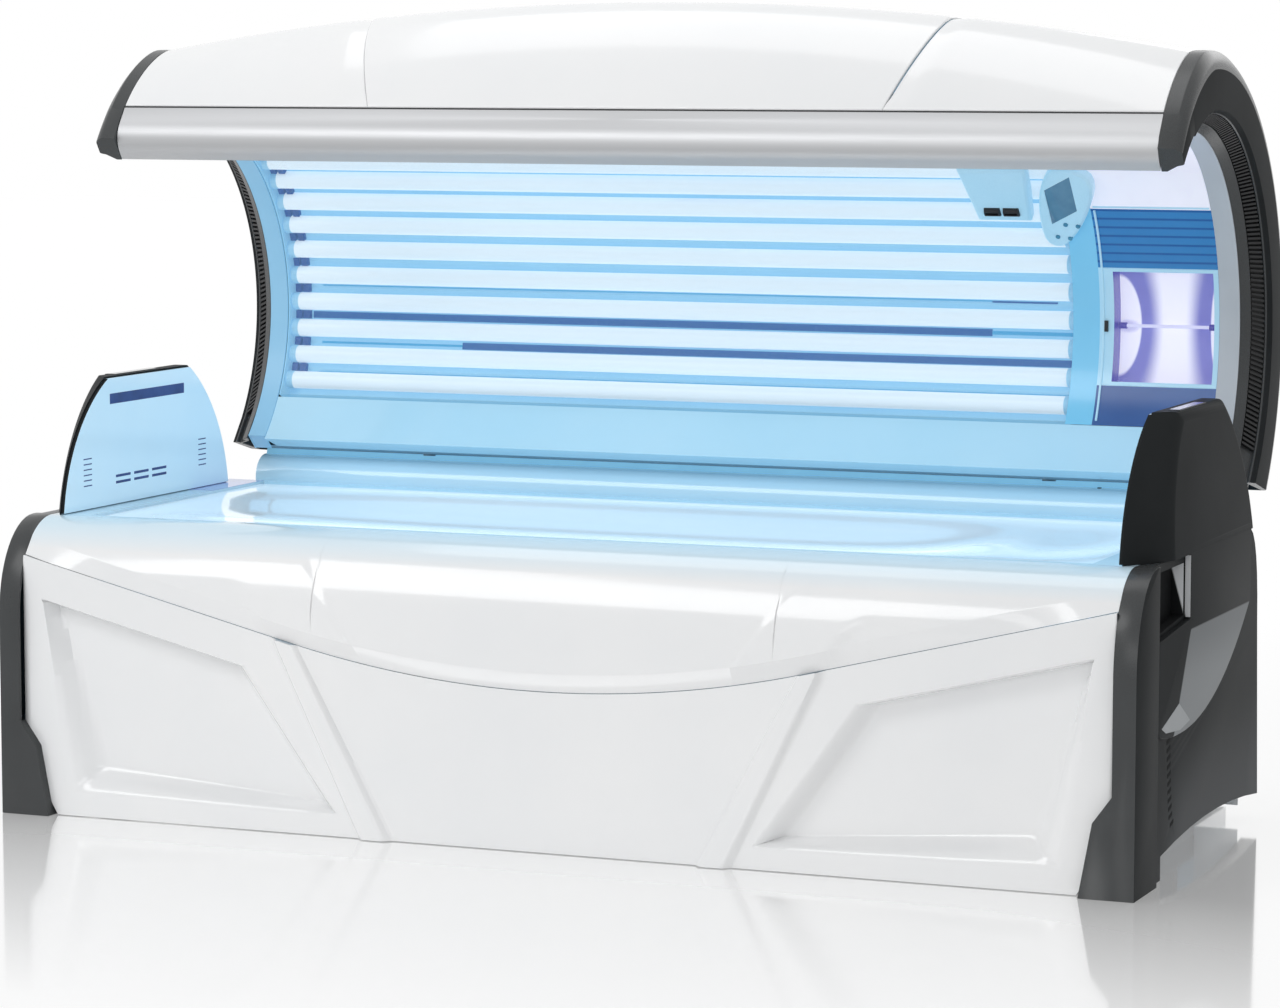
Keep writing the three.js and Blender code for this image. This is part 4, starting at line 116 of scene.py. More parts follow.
def low_angle(r):
    return lerp(LOW_IN, LOW_OUT, (r - TR) / (OUT_R - TR))


def seam(x):
    """Height of the line between the brow and the service panel."""
    x = abs(x)
    if x < BROW_BEND:
        return BROW_LOW + BROW_RISE * (x / BROW_BEND) ** 2
    return BROW_LOW + BROW_RISE + (x - BROW_BEND) * 2 * BROW_RISE / BROW_BEND


def front_depth(z):
    rise = min(1.0, max(0.0, z - FRONT_Z) / FRONT_H)
    return FRONT_R * (1 - math.sqrt(1 - rise * rise))


def link(name, data):
    ob = bpy.data.objects.new(name, data)
    bpy.context.collection.objects.link(ob)
    return ob


def round_edges(ob, width, segments, angle):
    mod = ob.modifiers.new("edge", "BEVEL")
    mod.width = width * MM
    mod.segments = segments
    mod.limit_method = "ANGLE"
    mod.angle_limit = math.radians(angle)
    mod.harden_normals = True


class Shape:
    """Points and faces of one piece, gathered from simple solids."""

    def __init__(self, main):
        self.main, self.points, self.faces, self.mats = main, [], [], []

    def add(self, points, faces, mats):
        base = len(self.points)
        self.points += points
        self.faces += [tuple(i + base for i in face) for face in faces]
        self.mats += [mat or self.main for mat in mats]

    def loft(self, rings, mat=None, closed=True, tints=None):
        """Skins rings of points, and caps closed ones; tints gives sides other materials."""
        n = len(rings[0])
        last = (len(rings) - 1) * n
        faces, mats = [], []
        for start in range(0, last, n):
            for i in range(n if closed else n - 1):
                j = (i + 1) % n
                faces.append((start + i, start + j, start + n + j, start + n + i))
                mats.append((tints or {}).get(i, mat))
        if closed:
            faces += [tuple(reversed(range(n))), tuple(range(last, last + n))]
            mats += [mat, mat]
        self.add([p for ring in rings for p in ring], faces, mats)

    def prism(self, outline, xs, mat=None, tints=None):
        """Runs a (y, z) outline along the bed."""
        self.loft([[(x, y, z) for y, z in outline] for x in xs], mat, tints=tints)

    def revolve(self, section, angles, mat=None, side=1):
        """Turns an (x, radius) section round the tunnel's axis."""
        self.loft([[arc(side * x, r, a) for x, r in section] for a in angles], mat)

    def strip(self, r0, r1, a, half, xs, mat=None):
        """Runs a strip between two radii and two angles along the bed."""
        corners = ((r0, a - half), (r1, a - half), (r1, a + half), (r0, a + half))
        self.prism([polar(r, b) for r, b in corners], xs, mat)

    def box(self, xs, ys, zs, mat=None):
        self.prism([(ys[0], zs[0]), (ys[1], zs[0]), (ys[1], zs[1]), (ys[0], zs[1])], xs, mat)

    def rod(self, xs, middle, r, sides, mat=None):
        self.prism([polar(r, 360 * i / sides, *middle) for i in range(sides)], xs, mat)

    def piece(self, name, body, node, bevel=0.0, segments=2, angle=38, closed=True,
              thick=0.0):
        """Makes the object that stands for a node of the part and rides on its body."""
        mesh = bpy.data.meshes.new(name)
        points = [(x * MM, (y - REAR) * MM, z * MM) for x, y, z in self.points]
        mesh.from_pydata(points, [], self.faces)
        mats = list(dict.fromkeys([self.main] + self.mats))
        for mat in mats:
            mesh.materials.append(mat)
        mesh.polygons.foreach_set("material_index", [mats.index(mat) for mat in self.mats])
        bm = bmesh.new()
        bm.from_mesh(mesh)
        bmesh.ops.remove_doubles(bm, verts=bm.verts, dist=2e-6)
        if closed:
            bmesh.ops.recalc_face_normals(bm, faces=bm.faces)
        bm.to_mesh(mesh)
        bm.free()
        mesh.shade_smooth()
        mesh.set_sharp_from_angle(angle=math.radians(angle))
        ob = link(name, mesh)
        if thick:
            mod = ob.modifiers.new("wall", "SOLIDIFY")
            mod.thickness = thick * MM
            mod.offset = -1
        if bevel:
            round_edges(ob, bevel, segments, angle)
        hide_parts(node)
        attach(ob, body)


# Materials

SPAN = 0.05  # how far the roughness strays from its middle


def lin(rgb):
    """A colour as it is seen on screen, in the linear values that Blender takes."""
    return tuple(c / 255 / 12.92 if c <= 10 else ((c / 255 + 0.055) / 1.055) ** 2.4
                 for c in rgb) + (1.0,)


def feed(tree, socket, value):
    if isinstance(value, bpy.types.NodeSocket):
        tree.links.new(value, socket)
    else:
        socket.default_value = value


def add_node(tree, kind, inputs, **settings):
    """A new shader node, whose inputs get values or the sockets that feed them."""
    node = tree.nodes.new("ShaderNode" + kind)
    for key, value in settings.items():
        setattr(node, key, value)
    for key, value in inputs.items():
        feed(tree, node.inputs[key], value)
    return node


def maths(tree, kind, a, b):
    return add_node(tree, "Math", {0: a, 1: b}, operation=kind).outputs[0]


def material(name, dark, light, rough, metal=0.0, patch=3.0, grain=300.0, bump=0.02,
             stretch=(1, 1, 1), coat=0.0, glow=None, power=0.0, alpha=1.0, ior=1.46, aniso=0.0):
    """Two near shades in soft patches, with roughness and a fine grain from noise."""
    mat = bpy.data.materials.new(name)
    mat.use_nodes = True
    tree = mat.node_tree
    where = add_node(tree, "TexCoord", {}).outputs["Object"]
    where = add_node(tree, "Mapping", {"Vector": where, "Scale": stretch}).outputs["Vector"]
    soft = add_node(tree, "TexNoise", {"Vector": where, "Scale": patch, "Detail": 4})
    shade = add_node(tree, "ValToRGB", {"Fac": soft.outputs["Fac"]})
    for stop, place, rgb in zip(shade.color_ramp.elements, (0.3, 0.7), (dark, light)):
        stop.position, stop.color = place, lin(rgb)
    fine = add_node(tree, "TexNoise", {"Vector": where, "Scale": grain, "Detail": 3}).outputs["Fac"]
    level = add_node(tree, "MapRange", {"Value": fine, "To Min": max(0.02, rough - SPAN),
                                        "To Max": rough + SPAN})
    lift = add_node(tree, "Bump", {"Height": fine, "Strength": bump, "Distance": 0.001})
    values = {"Base Color": shade.outputs["Color"], "Roughness": level.outputs["Result"],
              "Normal": lift.outputs["Normal"], "Metallic": metal, "IOR": ior, "Alpha": alpha,
              "Coat Weight": coat, "Coat Roughness": 0.06, "Anisotropic": aniso}
    if glow:
        values.update({"Emission Color": lin(glow), "Emission Strength": power})
    for key, value in values.items():
        feed(tree, tree.nodes["Principled BSDF"].inputs[key], value)
    return mat


WHITE = material("white_gloss", (238, 239, 240), (243, 243, 243), rough=0.16, patch=2.5, grain=220,
                 bump=0.012, coat=0.35)
BROW = material("white_brow", (238, 239, 240), (243, 243, 243), rough=0.14, patch=2.5, grain=220,
                bump=0.01, coat=0.35)
SHEET = material("white_sheet", (226, 228, 229), (233, 234, 234), rough=0.42, grain=900, bump=0.12)
RIM = material("pale_rim", (190, 195, 200), (204, 208, 212), rough=0.36, patch=4, grain=900,
               bump=0.04)
BAR = material("brushed_bar", (178, 179, 181), (186, 187, 189), rough=0.5, metal=1.0, patch=6,
               grain=420, bump=0.015, stretch=(0.02, 1, 1), aniso=0.4)
CLOSING = material("closing_strip", (150, 174, 188), (160, 182, 195), rough=0.6, patch=8, grain=600,
                   bump=0.05, ior=1.06)

# Dark and steel pieces; an index near 1 keeps a side dark that is seen at a flat angle
CHARCOAL = material("charcoal_gloss", (58, 60, 61), (66, 68, 69), rough=0.28, patch=5, grain=1200,
                    ior=1.38)
# Charcoal painted darker: painted shade for the sides of the caps, canopy ends and towers
DIM = material("charcoal_side_painted_shade", (40, 42, 43), (46, 48, 49), rough=0.42, patch=5, grain=1200,
               ior=1.06)
# Same painted shade as the sides; its lower half takes a painted reflection of the floor
SHIELD = material("charcoal_shield", (40, 42, 43), (46, 48, 49), rough=0.38, grain=1200, ior=1.06)
# Charcoal painted pale grey: painted light on the tip of each shield
TIP_LIGHT = material("charcoal_tip_painted_light", (166, 169, 171), (174, 177, 179), rough=0.36, patch=4,
                 grain=1200, ior=1.06)
# Near black: painted shade in the end caps' recesses and in the shells' notch and slits
RECESS_SHADE = material("recess_painted_shade", (24, 25, 26), (30, 31, 32), rough=0.5, patch=8, grain=1200,
                  bump=0.05, ior=1.06)
BLACK = material("black_plastic", (22, 23, 25), (30, 31, 33), rough=0.5, patch=12, grain=1500,
                 bump=0.15)
TOWER_SLOT = material("tower_slot", (46, 48, 50), (70, 72, 74), rough=0.12, patch=14, coat=0.5)
STEEL = material("steel_frame", (104, 108, 112), (118, 122, 126), rough=0.5, metal=0.2, patch=8,
                 grain=900, bump=0.1)
ZINC = material("zinc_steel", (168, 172, 178), (190, 193, 197), rough=0.34, metal=0.9, patch=30,
                bump=0.05)
BLACK_STEEL = material("black_steel", (30, 31, 33), (40, 41, 43), rough=0.35, patch=8, grain=900,
                       bump=0.05)

# Lamps and the sheets round them; the glow of the tube ends, sockets and sheets is painted lamp
# light, and the crease and fold lines are painted shade
TUBE = material("lamp_tubes", (196, 208, 216), (206, 216, 222), rough=0.3, grain=80,
                stretch=(0.3, 1, 1), glow=(232, 240, 246), power=0.47)
TUBE_END = material("lamp_ends", (150, 200, 228), (165, 210, 234), rough=0.45, patch=20, grain=700,
                    bump=0.1, glow=(150, 205, 235), power=0.2)
SOCKET = material("lamp_sockets", (12, 56, 124), (20, 70, 140), rough=0.45, patch=20, grain=700,
                  bump=0.1, glow=(20, 84, 160), power=0.25)
REFLECT = material("reflector_sheet", (130, 176, 202), (140, 184, 208), rough=0.25, patch=4,
                   grain=200, bump=0.03, glow=(150, 208, 240), power=0.36)
# Dark and paler lines of painted shade in the reflector's creases between tubes
CREASE_SHADE = material("reflector_crease_shade", (6, 50, 110), (10, 60, 120), rough=0.4, patch=6, bump=0.05,
                  stretch=(0.2, 1, 1), glow=(8, 100, 178), power=0.4)
FOLD_SHADE = material("reflector_fold_shade", (66, 140, 182), (80, 154, 194), rough=0.4, patch=6, bump=0.05,
                stretch=(0.2, 1, 1), glow=(76, 166, 212), power=0.35, ior=1.06)
CLEAR = material("clear_acrylic", (196, 230, 245), (206, 234, 247), rough=0.05, patch=2, grain=40,
                 bump=0.01, alpha=0.07, ior=1.25, glow=(190, 228, 246), power=0.1)
BENCH_BLUE = material("bench_acrylic", (206, 226, 238), (234, 242, 247), rough=0.07, patch=3.2,
                      grain=30, stretch=(0.16, 1, 1), coat=0.3, alpha=0.9, glow=(232, 244, 250),
                      power=0.28)

# Pieces in the blue light of the lamps; most carry that light as a painted blue tint and a glow
LINER = material("lit_liner", (196, 224, 240), (208, 231, 244), rough=0.12, grain=200, bump=0.01,
                 coat=0.4, glow=(200, 232, 248), power=0.24)
SLOT = material("liner_slots", (34, 52, 118), (50, 76, 146), rough=0.3, patch=20, grain=500,
                bump=0.05)
TRIM = material("blue_trim", (172, 214, 234), (182, 219, 237), rough=0.16, bump=0.01, coat=0.3,
                glow=(170, 218, 240), power=0.18)
POD = material("pod_shell", (176, 216, 234), (188, 222, 238), rough=0.28, patch=8, grain=700,
               bump=0.04, glow=(176, 220, 240), power=0.18)
SCREEN = material("slate_screen", (66, 110, 138), (84, 128, 154), rough=0.12, patch=25, grain=600,
                  bump=0.01, coat=0.5, glow=(70, 120, 150), power=0.2)
KEY = material("key_cap", (66, 140, 172), (80, 150, 180), rough=0.45, patch=80, grain=1500,
               bump=0.1)
RIM_LIT = material("lit_rim", (140, 190, 220), (154, 200, 227), rough=0.3, patch=4, grain=900,
                   bump=0.03, glow=(120, 190, 230), power=0.16)
SEAL = material("hinge_seal", (142, 198, 226), (152, 206, 232), rough=0.6, patch=20, grain=600,
                bump=0.2, glow=(140, 205, 235), power=0.35)
LILAC = material("lit_corner", (128, 146, 206), (150, 170, 220), rough=0.12, patch=9, grain=220,
                 coat=0.3, glow=(120, 140, 205), power=0.1)
LIT_BARREL = material("lit_barrel", (186, 216, 232), (196, 222, 236), rough=0.14, patch=2,
                      grain=220, bump=0.01, coat=0.4, glow=(150, 208, 238), power=0.2)

# Face tanner; all pieces but the burner carry its light as a painted glow
VIOLET = material("violet_glass", (170, 165, 225), (180, 172, 230), rough=0.05, patch=5, grain=60,
                  bump=0.01, coat=0.5, alpha=0.1, glow=(150, 145, 220), power=0.06)
BURN = material("face_reflector", (118, 122, 190), (140, 144, 206), rough=0.25, patch=14, grain=120,
                bump=0.05, glow=(105, 108, 170), power=0.55)
BURNER = material("face_burner", (214, 214, 236), (228, 228, 244), rough=0.1, patch=30, coat=0.4,
                  glow=(236, 236, 250), power=0.45)
DUSK = material("face_baffle", (70, 66, 150), (88, 82, 168), rough=0.2, patch=10, grain=200,
                bump=0.03, glow=(84, 80, 176), power=0.25)
RIBBED = material("face_ribbed", (38, 108, 164), (46, 118, 174), rough=0.25, patch=5, bump=0.03,
                  glow=(46, 126, 188), power=0.3)
PURPLE = material("face_lower", (54, 82, 132), (62, 92, 142), rough=0.2, patch=5,
                  glow=(60, 92, 150), power=0.3)
WINDOW = material("face_window", (218, 218, 228), (226, 224, 234), rough=0.15, patch=30, grain=200,
                  glow=(232, 230, 240), power=0.4)
STRIP = material("face_strip", (120, 192, 226), (132, 200, 231), rough=0.2, patch=4, bump=0.01,
                 coat=0.2, glow=(116, 200, 236), power=0.2)


class Ink:
    """Paints a material by the place on the part, with small chains of maths nodes."""

    def __init__(self, mat):
        self.tree = mat.node_tree
        self.bsdf = self.tree.nodes["Principled BSDF"]
        where = add_node(self.tree, "TexCoord", {})
        split = add_node(self.tree, "SeparateXYZ", {0: where.outputs["Object"]})
        self.x, self.y, self.z = split.outputs

    def calc(self, kind, a, b=0.0):
        return maths(self.tree, kind, a, b)

    def ramp(self, value, low, high, kind="SMOOTHSTEP"):
        inputs = {"Value": value, "From Min": low, "From Max": high}
        return add_node(self.tree, "MapRange", inputs, interpolation_type=kind).outputs["Result"]

    def offset(self, axis, middle, half):
        return self.calc("DIVIDE", self.calc("SUBTRACT", axis, middle), half)

    def oval(self, middle, half, full, none):
        u = self.offset(self.x, middle[0], half[0])
        w = self.offset(self.z, middle[1], half[1])
        reach = self.calc("ADD", self.calc("MULTIPLY", u, u), self.calc("MULTIPLY", w, w))
        return self.ramp(reach, none, full)

    def paint(self, share, colour, shine=None):
        """Blends the colour towards another one, and the glow too where shine is given."""
        for name, tint in (("Base Color", colour), ("Emission Color", shine)):
            if tint is None:
                continue
            socket = self.bsdf.inputs[name]
            under = socket.links[0].from_socket if socket.is_linked else socket.default_value
            inputs = {"Factor": share, "A": under, "B": lin(tint)}
            mix = add_node(self.tree, "Mix", inputs, data_type="RGBA")
            feed(self.tree, socket, mix.outputs["Result"])


def reflector_marks():
    """White glare on the curved reflector behind the face glass, with a shade in its left end."""
    ink = Ink(BURN)
    white, bright = (238, 240, 244), (255, 255, 255)
    rise = ink.offset(ink.z, 0.968, 0.11)
    waist = ink.calc("MULTIPLY", ink.calc("MULTIPLY", rise, rise), 0.012)
    half = ink.calc("ADD", waist, 0.036)
    off = ink.calc("ABSOLUTE", ink.calc("SUBTRACT", ink.x, 0.944))
    ink.paint(ink.ramp(ink.calc("DIVIDE", off, half), 1.5, 0.55), white, bright)
    ink.paint(ink.oval((0.829, 0.968), (0.046, 0.104), full=0.86, none=1.06), white, bright)
    ink.paint(ink.oval((1.040, 0.968), (0.022, 0.1), full=0.8, none=1.1), white, bright)
    shade = ink.oval((0.846, 0.966), (0.03, 0.016), full=0.1, none=1.0)
    ink.paint(ink.calc("MULTIPLY", shade, 0.55), (150, 150, 200), (160, 160, 210))


def rib_lines():
    """Darker lines across the blue panel above the face glass."""
    ink = Ink(RIBBED)
    pitch = 0.0176
    along = ink.calc("FRACT", ink.calc("DIVIDE", ink.z, pitch))
    off = ink.calc("ABSOLUTE", ink.calc("SUBTRACT", along, 0.5))
    ink.paint(ink.ramp(off, 0.2, 0.04), (18, 78, 138), (22, 88, 160))


def bench_marks():
    """Bluer ends of the lying surface."""
    ink = Ink(BENCH_BLUE)
    far = ink.ramp(ink.calc("ABSOLUTE", ink.x), 0.5, 1.04)
    ink.paint(ink.calc("MULTIPLY", far, 0.45), (176, 212, 232))


def brow_marks():
    """Blue light that spills from the bench over the top of the brow."""
    ink = Ink(BROW)
    ink.paint(ink.ramp(ink.z, 0.535, 0.594, "LINEAR"), (206, 233, 247))


def shield_painted_reflection():
    """Paler lower half of each shield, below its level fold and behind its slanted one: a painted
    reflection of the floor.
    """
    ink = Ink(SHIELD)
    below = ink.ramp(ink.z, 0.452, 0.446)
    lean = ink.calc("SUBTRACT", ink.y, ink.calc("MULTIPLY", ink.z, 0.609))
    share = ink.calc("MULTIPLY", below, ink.ramp(lean, -0.4961, -0.4881))
    ink.paint(share, (146, 149, 151))
    ink.paint(ink.calc("MULTIPLY", share, ink.ramp(ink.z, 0.34, 0.45)), (128, 131, 133))


def recess_painted_light():
    """Painted light: a paler upper corner on the rear wall of each end cap's recess."""
    ink = Ink(RECESS_SHADE)
    reach = ink.calc("SUBTRACT", ink.calc("ABSOLUTE", ink.x), 1.135)
    drop = ink.calc("MULTIPLY", ink.calc("SUBTRACT", 0.585, ink.z), 0.28)
    corner = ink.ramp(ink.calc("SUBTRACT", reach, drop), -0.002, 0.002)
    rear = ink.ramp(ink.y, -0.2375, -0.2365)
    ink.paint(ink.calc("MULTIPLY", corner, rear), (232, 234, 236))


def side_marks():
    """Paler foot on the dark sides, where the floor shows in the gloss."""
    ink = Ink(DIM)
    low = ink.calc("MULTIPLY", ink.ramp(ink.z, 0.3, 0.03), ink.ramp(ink.y, -0.42, -0.2))
    ink.paint(ink.calc("MULTIPLY", low, 0.75), (92, 94, 96))


for marks in (reflector_marks, rib_lines, bench_marks, brow_marks, shield_painted_reflection, recess_painted_light,
              side_marks):
    marks()


# Canopy covers

STEP, STEP_RUN, SKIN = 5.0, 46.0, 6.0  # step of the outer covers at a seam, its run, and the wall


def cover(hand, ends, leans, steps, step):
    """One of three skins; the outer ones step down to the middle one at their seams."""
    angles = spread(BAR_A, 90, 22)[:-1] + spread(90, 0, 40)[:-1] + spread(0, LOW_OUT, 14)
    rings = []
    for t in spread(0, 1, steps):
        x, lean = lerp(*ends, t), lerp(*leans, t)
        drop = step * (1 - ease(abs(abs(x) - SEAM_X) / STEP_RUN))

        def point(depth, a):
            place = x + lean * crown_share(a)
            y, z = polar(outer_radius(a) - depth - drop * ease((BAR_A - a) / 3), a)
            return (place, y, z + crown(place, a))
        rings.append([point(0, a) for a in angles] + [point(SKIN, a) for a in reversed(angles)])
    shape = Shape(WHITE)
    shape.loft(rings)
    shape.piece("skin_" + hand, "canopy", "cover_" + hand, bevel=2.4, segments=3)


cover("left", (-COVER_END, -SEAM_X - SEAM_GAP), (0, -FLARE), 36, STEP)
cover("centre", (-SEAM_X + SEAM_GAP, SEAM_X - SEAM_GAP), (-FLARE, FLARE), 48, 0.0)
cover("right", (SEAM_X + SEAM_GAP, COVER_END), (FLARE, 0), 36, STEP)


def front_bar():
    """Bright bar along the canopy's front edge, with a dark joint under the covers."""
    low, nose, top = polar(TR + 3, NOSE_A), polar(NOSE_R, NOSE_A), polar(BAR_R - 1, BAR_A + 0.07)
    outer = [low] + curve(between(nose, low, 0.7), nose, between(nose, top, 0.46), 20) + [top]
    y, z = top
    inner = [(y + 6.5, z - 4.5), (nose[0] + 24, nose[1] + 6), (low[0] - 1, low[1] + 7)]
    joint = [(y - 3.4, z - 4.0), (y - 1.4, z - 0.6), (y + 0.4, z - 1.2), (y - 1.2, z - 4.6)]
    shape = Shape(BAR)
    shape.prism(outer + inner, spread(-COVER_END, COVER_END, 24))
    shape.prism(joint, (-COVER_END + 0.1, COVER_END - 0.1), BLACK)
    shape.piece("front_bar", "canopy", "handle_bar", bevel=1.6, segments=3, angle=34)


front_bar()


# Canopy ends with ribbed outlets and inner rims

SLOPE_X, SLOPE_R = 46.0, 35.0  # flared slope inside the end
SLOPE = math.hypot(SLOPE_X, SLOPE_R)
END_IN, END_OUT, END_TOP = 1091.0, 1147.0, 112.0
END_ROUND = ((END_OUT, 36), (1145.8, 27), (1142.5, 18), (1137, 9), (1129, 0))
VENT = ((24, 0), (24, 9), (54, 9), (54, 0))  # groove for the outlet: along the slope, depth
VENT_TOP, VENT_FOOT, RIBS, RIB_HALF = 96, -33, 96, 0.36
RIM_IN, RIM_OUT, RIM_T = 1048.7, 1090.7, 4


def slope(along, depth, s=1.0):
    """(x, radius) of a place along the slope and behind its face."""
    return (END_IN + (SLOPE_X * along - SLOPE_R * depth) / SLOPE,
            TR + (SLOPE_R * along + SLOPE_X * depth) / SLOPE * s)


def end_scale(a):
    outer = outer_radius(a)
    s = (outer - TR) / (OUT_R - TR)
    return outer, s, [(x, outer - drop * s) for x, drop in END_ROUND]


def end_section(a):
    outer, s, shoulder = end_scale(a)
    inner = [slope(along, depth, s) for along, depth in ((0, 0),) + VENT + ((SLOPE, 0),)]
    back = [(COVER_HALF + 0.3, outer), (COVER_HALF + 0.3, outer - 5), (1133, outer - 5 - 18 * s),
            slope(SLOPE, 14, s), slope(19, 14, s), (END_IN, TR + 5)]
    return inner + [(END_OUT, TR + 40 * s)] + shoulder + back


def nose_section(a):
    outer, s, shoulder = end_scale(a)
    back, low, middle = COVER_HALF + 0.4, TR + 1.5, TR + 38 * s
    face = [(back, low), (1112, low), (1133, middle), (1145, middle + 8 * s),
            (END_OUT, middle + 14 * s)]
    return face + shoulder + [(back, outer)]


def canopy_end(side, hand):
    shape = Shape(CHARCOAL)
    angles = spread(END_TOP + 0.5, LOW_OUT, 90)[:-1]
    rings = [[arc(side * x, r, a) for x, r in end_section(a)] for a in angles]
    rings.append([arc(side * x, r, low_angle(r)) for x, r in end_section(LOW_OUT)])
    shape.loft(rings, tints={5: DIM, 6: DIM})
    rings = [[arc(side * x, r, a) for x, r in nose_section(a)] for a in spread(NOSE_A, END_TOP, 14)]
    shape.loft(rings, tints={2: DIM, 3: DIM, 4: DIM})
    shape.piece("end_shell_" + hand, "canopy", "canopy_end_" + hand, bevel=1.6,
                angle=30)

    # The outlet is black, as painted shade of its openings: the ribs, and a band on the groove's
    # floor
    ribs = Shape(BLACK)
    corners = ((8.4, -RIB_HALF), (8.4, RIB_HALF), (0.6, RIB_HALF), (0.6, -RIB_HALF))
    for i in range(RIBS):
        a = lerp(VENT_TOP, VENT_FOOT, (i + 0.5) / RIBS)
        rings = []
        for along, lean in ((25.2, 0.5), (52.8, -0.5)):
            places = [(*slope(along, depth), a + lean + da) for depth, da in corners]
            rings.append([arc(side * x, r, b) for x, r, b in places])
        ribs.loft(rings)
    band = [slope(*place) for place in ((24.6, 8.7), (24.6, 7.6), (53.4, 7.6), (53.4, 8.7))]
    ribs.revolve(band, spread(VENT_TOP, VENT_FOOT, 80), side=side)
    ribs.piece("outlet_" + hand, "canopy", "vent_grille_" + hand, bevel=0.5,
               segments=1)

    # The left rim carries painted lamp light: a blue tint and a glow
    rim = Shape(RIM if side > 0 else RIM_LIT)
    flange = RIM_OUT - RIM_T
    section = ((RIM_IN, TR), (RIM_OUT, TR), (RIM_OUT, TR + 44), (flange, TR + 44),
               (flange, TR + RIM_T), (RIM_IN, TR + RIM_T))
    rim.revolve(section, spread(NOSE_A - 3.75, LOW_IN + 1, 90), side=side)
    foot = ((RIM_IN, TR + 2), (1087, TR + 2), (1087, TR + 43), (RIM_IN, TR + 43))
    rim.revolve(foot, (LOW_IN + 1.05, LOW_IN + 1.35), side=side)
    rim.piece("inner_rim_" + hand, "canopy", "end_rim_" + hand, bevel=1.2)


canopy_end(-1, "left")
canopy_end(1, "right")


# Tubes, reflector and acrylic of the canopy

FIELD_L, FIELD_R = -1044.0, 743.7
LAMP_R, LAMP_FIRST, LAMP_STEP = 430, -22.4, 7.8
LAMP_ANGLES = [LAMP_FIRST + LAMP_STEP * i for i in range(16)]
FIELD_LOW, SHEET_R, SHEET_T = -28.6, 404, 4
# Painted shade lines between tubes: which gap, start, end, half width and shift in degrees,
# material
CREASE_SHADES = [(0, -980, 735, 0.12, -0.75, FOLD_SHADE), (1, -980, -640, 0.3, 0, FOLD_SHADE),
           (1, -640, 735, 0.95, 0, CREASE_SHADE), (2, -1004, 560, 0.95, 0, CREASE_SHADE),
           (2, 560, 735, 0.5, 0, FOLD_SHADE), (3, -980, 560, 0.14, 0.7, FOLD_SHADE),
           (3, 560, 700, 0.24, 0.5, CREASE_SHADE), (7, -120, 75, 0.3, 0.3, CREASE_SHADE)]


def canopy_lamps():
    shape = Shape(TUBE)
    for a in LAMP_ANGLES:
        middle = polar(LAMP_R, a)
        shape.rod((FIELD_L + 8, FIELD_R - 8), middle, 19, 28)
        for xs in ((FIELD_L, FIELD_L + 16), (FIELD_R - 12, FIELD_R)):
            shape.rod(xs, middle, 19.8, 24, TUBE_END)
        for start, end in ((4, 18), (23, 38)):
            xs = (FIELD_L + start, FIELD_L + end)
            shape.strip(426, 438, a + LAMP_STEP / 2, 1.2, xs, SOCKET)
    shape.piece("canopy_tubes", "canopy", "canopy_lamp_bank", bevel=0.8, segments=1)


def canopy_reflector():
    """Sheet with a ridge between each two tubes, and its left end wall."""
    shape = Shape(REFLECT)
    angles = spread(97.5, FIELD_LOW, 220)
    rings = []
    for a in angles:
        t = ((a - LAMP_FIRST) / LAMP_STEP) % 1.0
        r = 453 - 11 * max(0.0, 1 - abs(t - 0.5) / 0.3)
        rings.append([arc(FIELD_L, r, a), arc(FIELD_R, r, a), arc(FIELD_R, r + 2.4, a),
                      arc(FIELD_L, r + 2.4, a)])
    shape.loft(rings)
    # Painted shade along the creases between the tubes
    for gap, x0, x1, half, shift, mat in CREASE_SHADES:
        a = LAMP_FIRST + LAMP_STEP * (gap + 0.5) + shift
        shape.strip(440.6, 442.2, a, half, (x0, x1), mat)
    shape.revolve(((-1047.4, 405), (-1045, 405), (-1045, 455), (-1047.4, 455)), angles)
    shape.piece("mirror_sheet", "canopy", "canopy_reflector", angle=30)


def canopy_sheet():
    shape = Shape(CLEAR)
    back = SHEET_R + SHEET_T
    section = ((FIELD_L, SHEET_R), (FIELD_R, SHEET_R), (FIELD_R, back), (FIELD_L, back))
    shape.revolve(section, spread(120, FIELD_LOW, 90))
    shape.piece("canopy_sheet", "canopy", "canopy_acrylic", bevel=0.8, segments=1)


def lower_trim():
    """Smooth band under the tubes, with the strip that closes the canopy's underside."""
    top, back, reach = -29.4, 462, 1048.4
    outline = [polar(SHEET_R, a) for a in spread(top, LOW_IN, 16)]
    outline += [polar(back, low_angle(back) + da) for da in (0, 0.5)]
    outline += [polar(SHEET_R + SHEET_T, a) for a in spread(LOW_IN + 1.1, top, 16)]
    strip = [polar(r, low_angle(r) + da)
             for r, da in ((460, 0.05), (548, 0.05), (548, 0.25), (460, 0.25))]
    shape = Shape(TRIM)
    shape.prism(outline, spread(-reach, reach, 20))
    shape.prism(strip, (-1088, 1088), CLOSING)
    shape.piece("hem_trim", "canopy", "lower_trim", bevel=1.2, angle=45)


canopy_lamps()
canopy_reflector()
canopy_sheet()
lower_trim()


# Face tanner

GLASS_L, GLASS_R, GLASS_A = 830, 1038, 16  # opening for the glass
STRIP_X, FRAME_X, FACE_END = 800, 806, 1046
WINDOW_A, RIBBED_A = 36.5, 17.2  # lower edges of the window and of the ribbed panel
WELL_R = 452


def face_finish(x, a):
    if x < STRIP_X:
        return STRIP
    if a > WINDOW_A:
        return WINDOW
    if a > RIBBED_A:
        return RIBBED
    return TRIM if a > -RIBBED_A else PURPLE


def face_groove(a):
    if not 17.6 < a < 36:
        return 0.0
    return 2.2 * max(0.0, 1 - abs((a - 19.0) / 3.1 % 1.0 - 0.5) / 0.16)


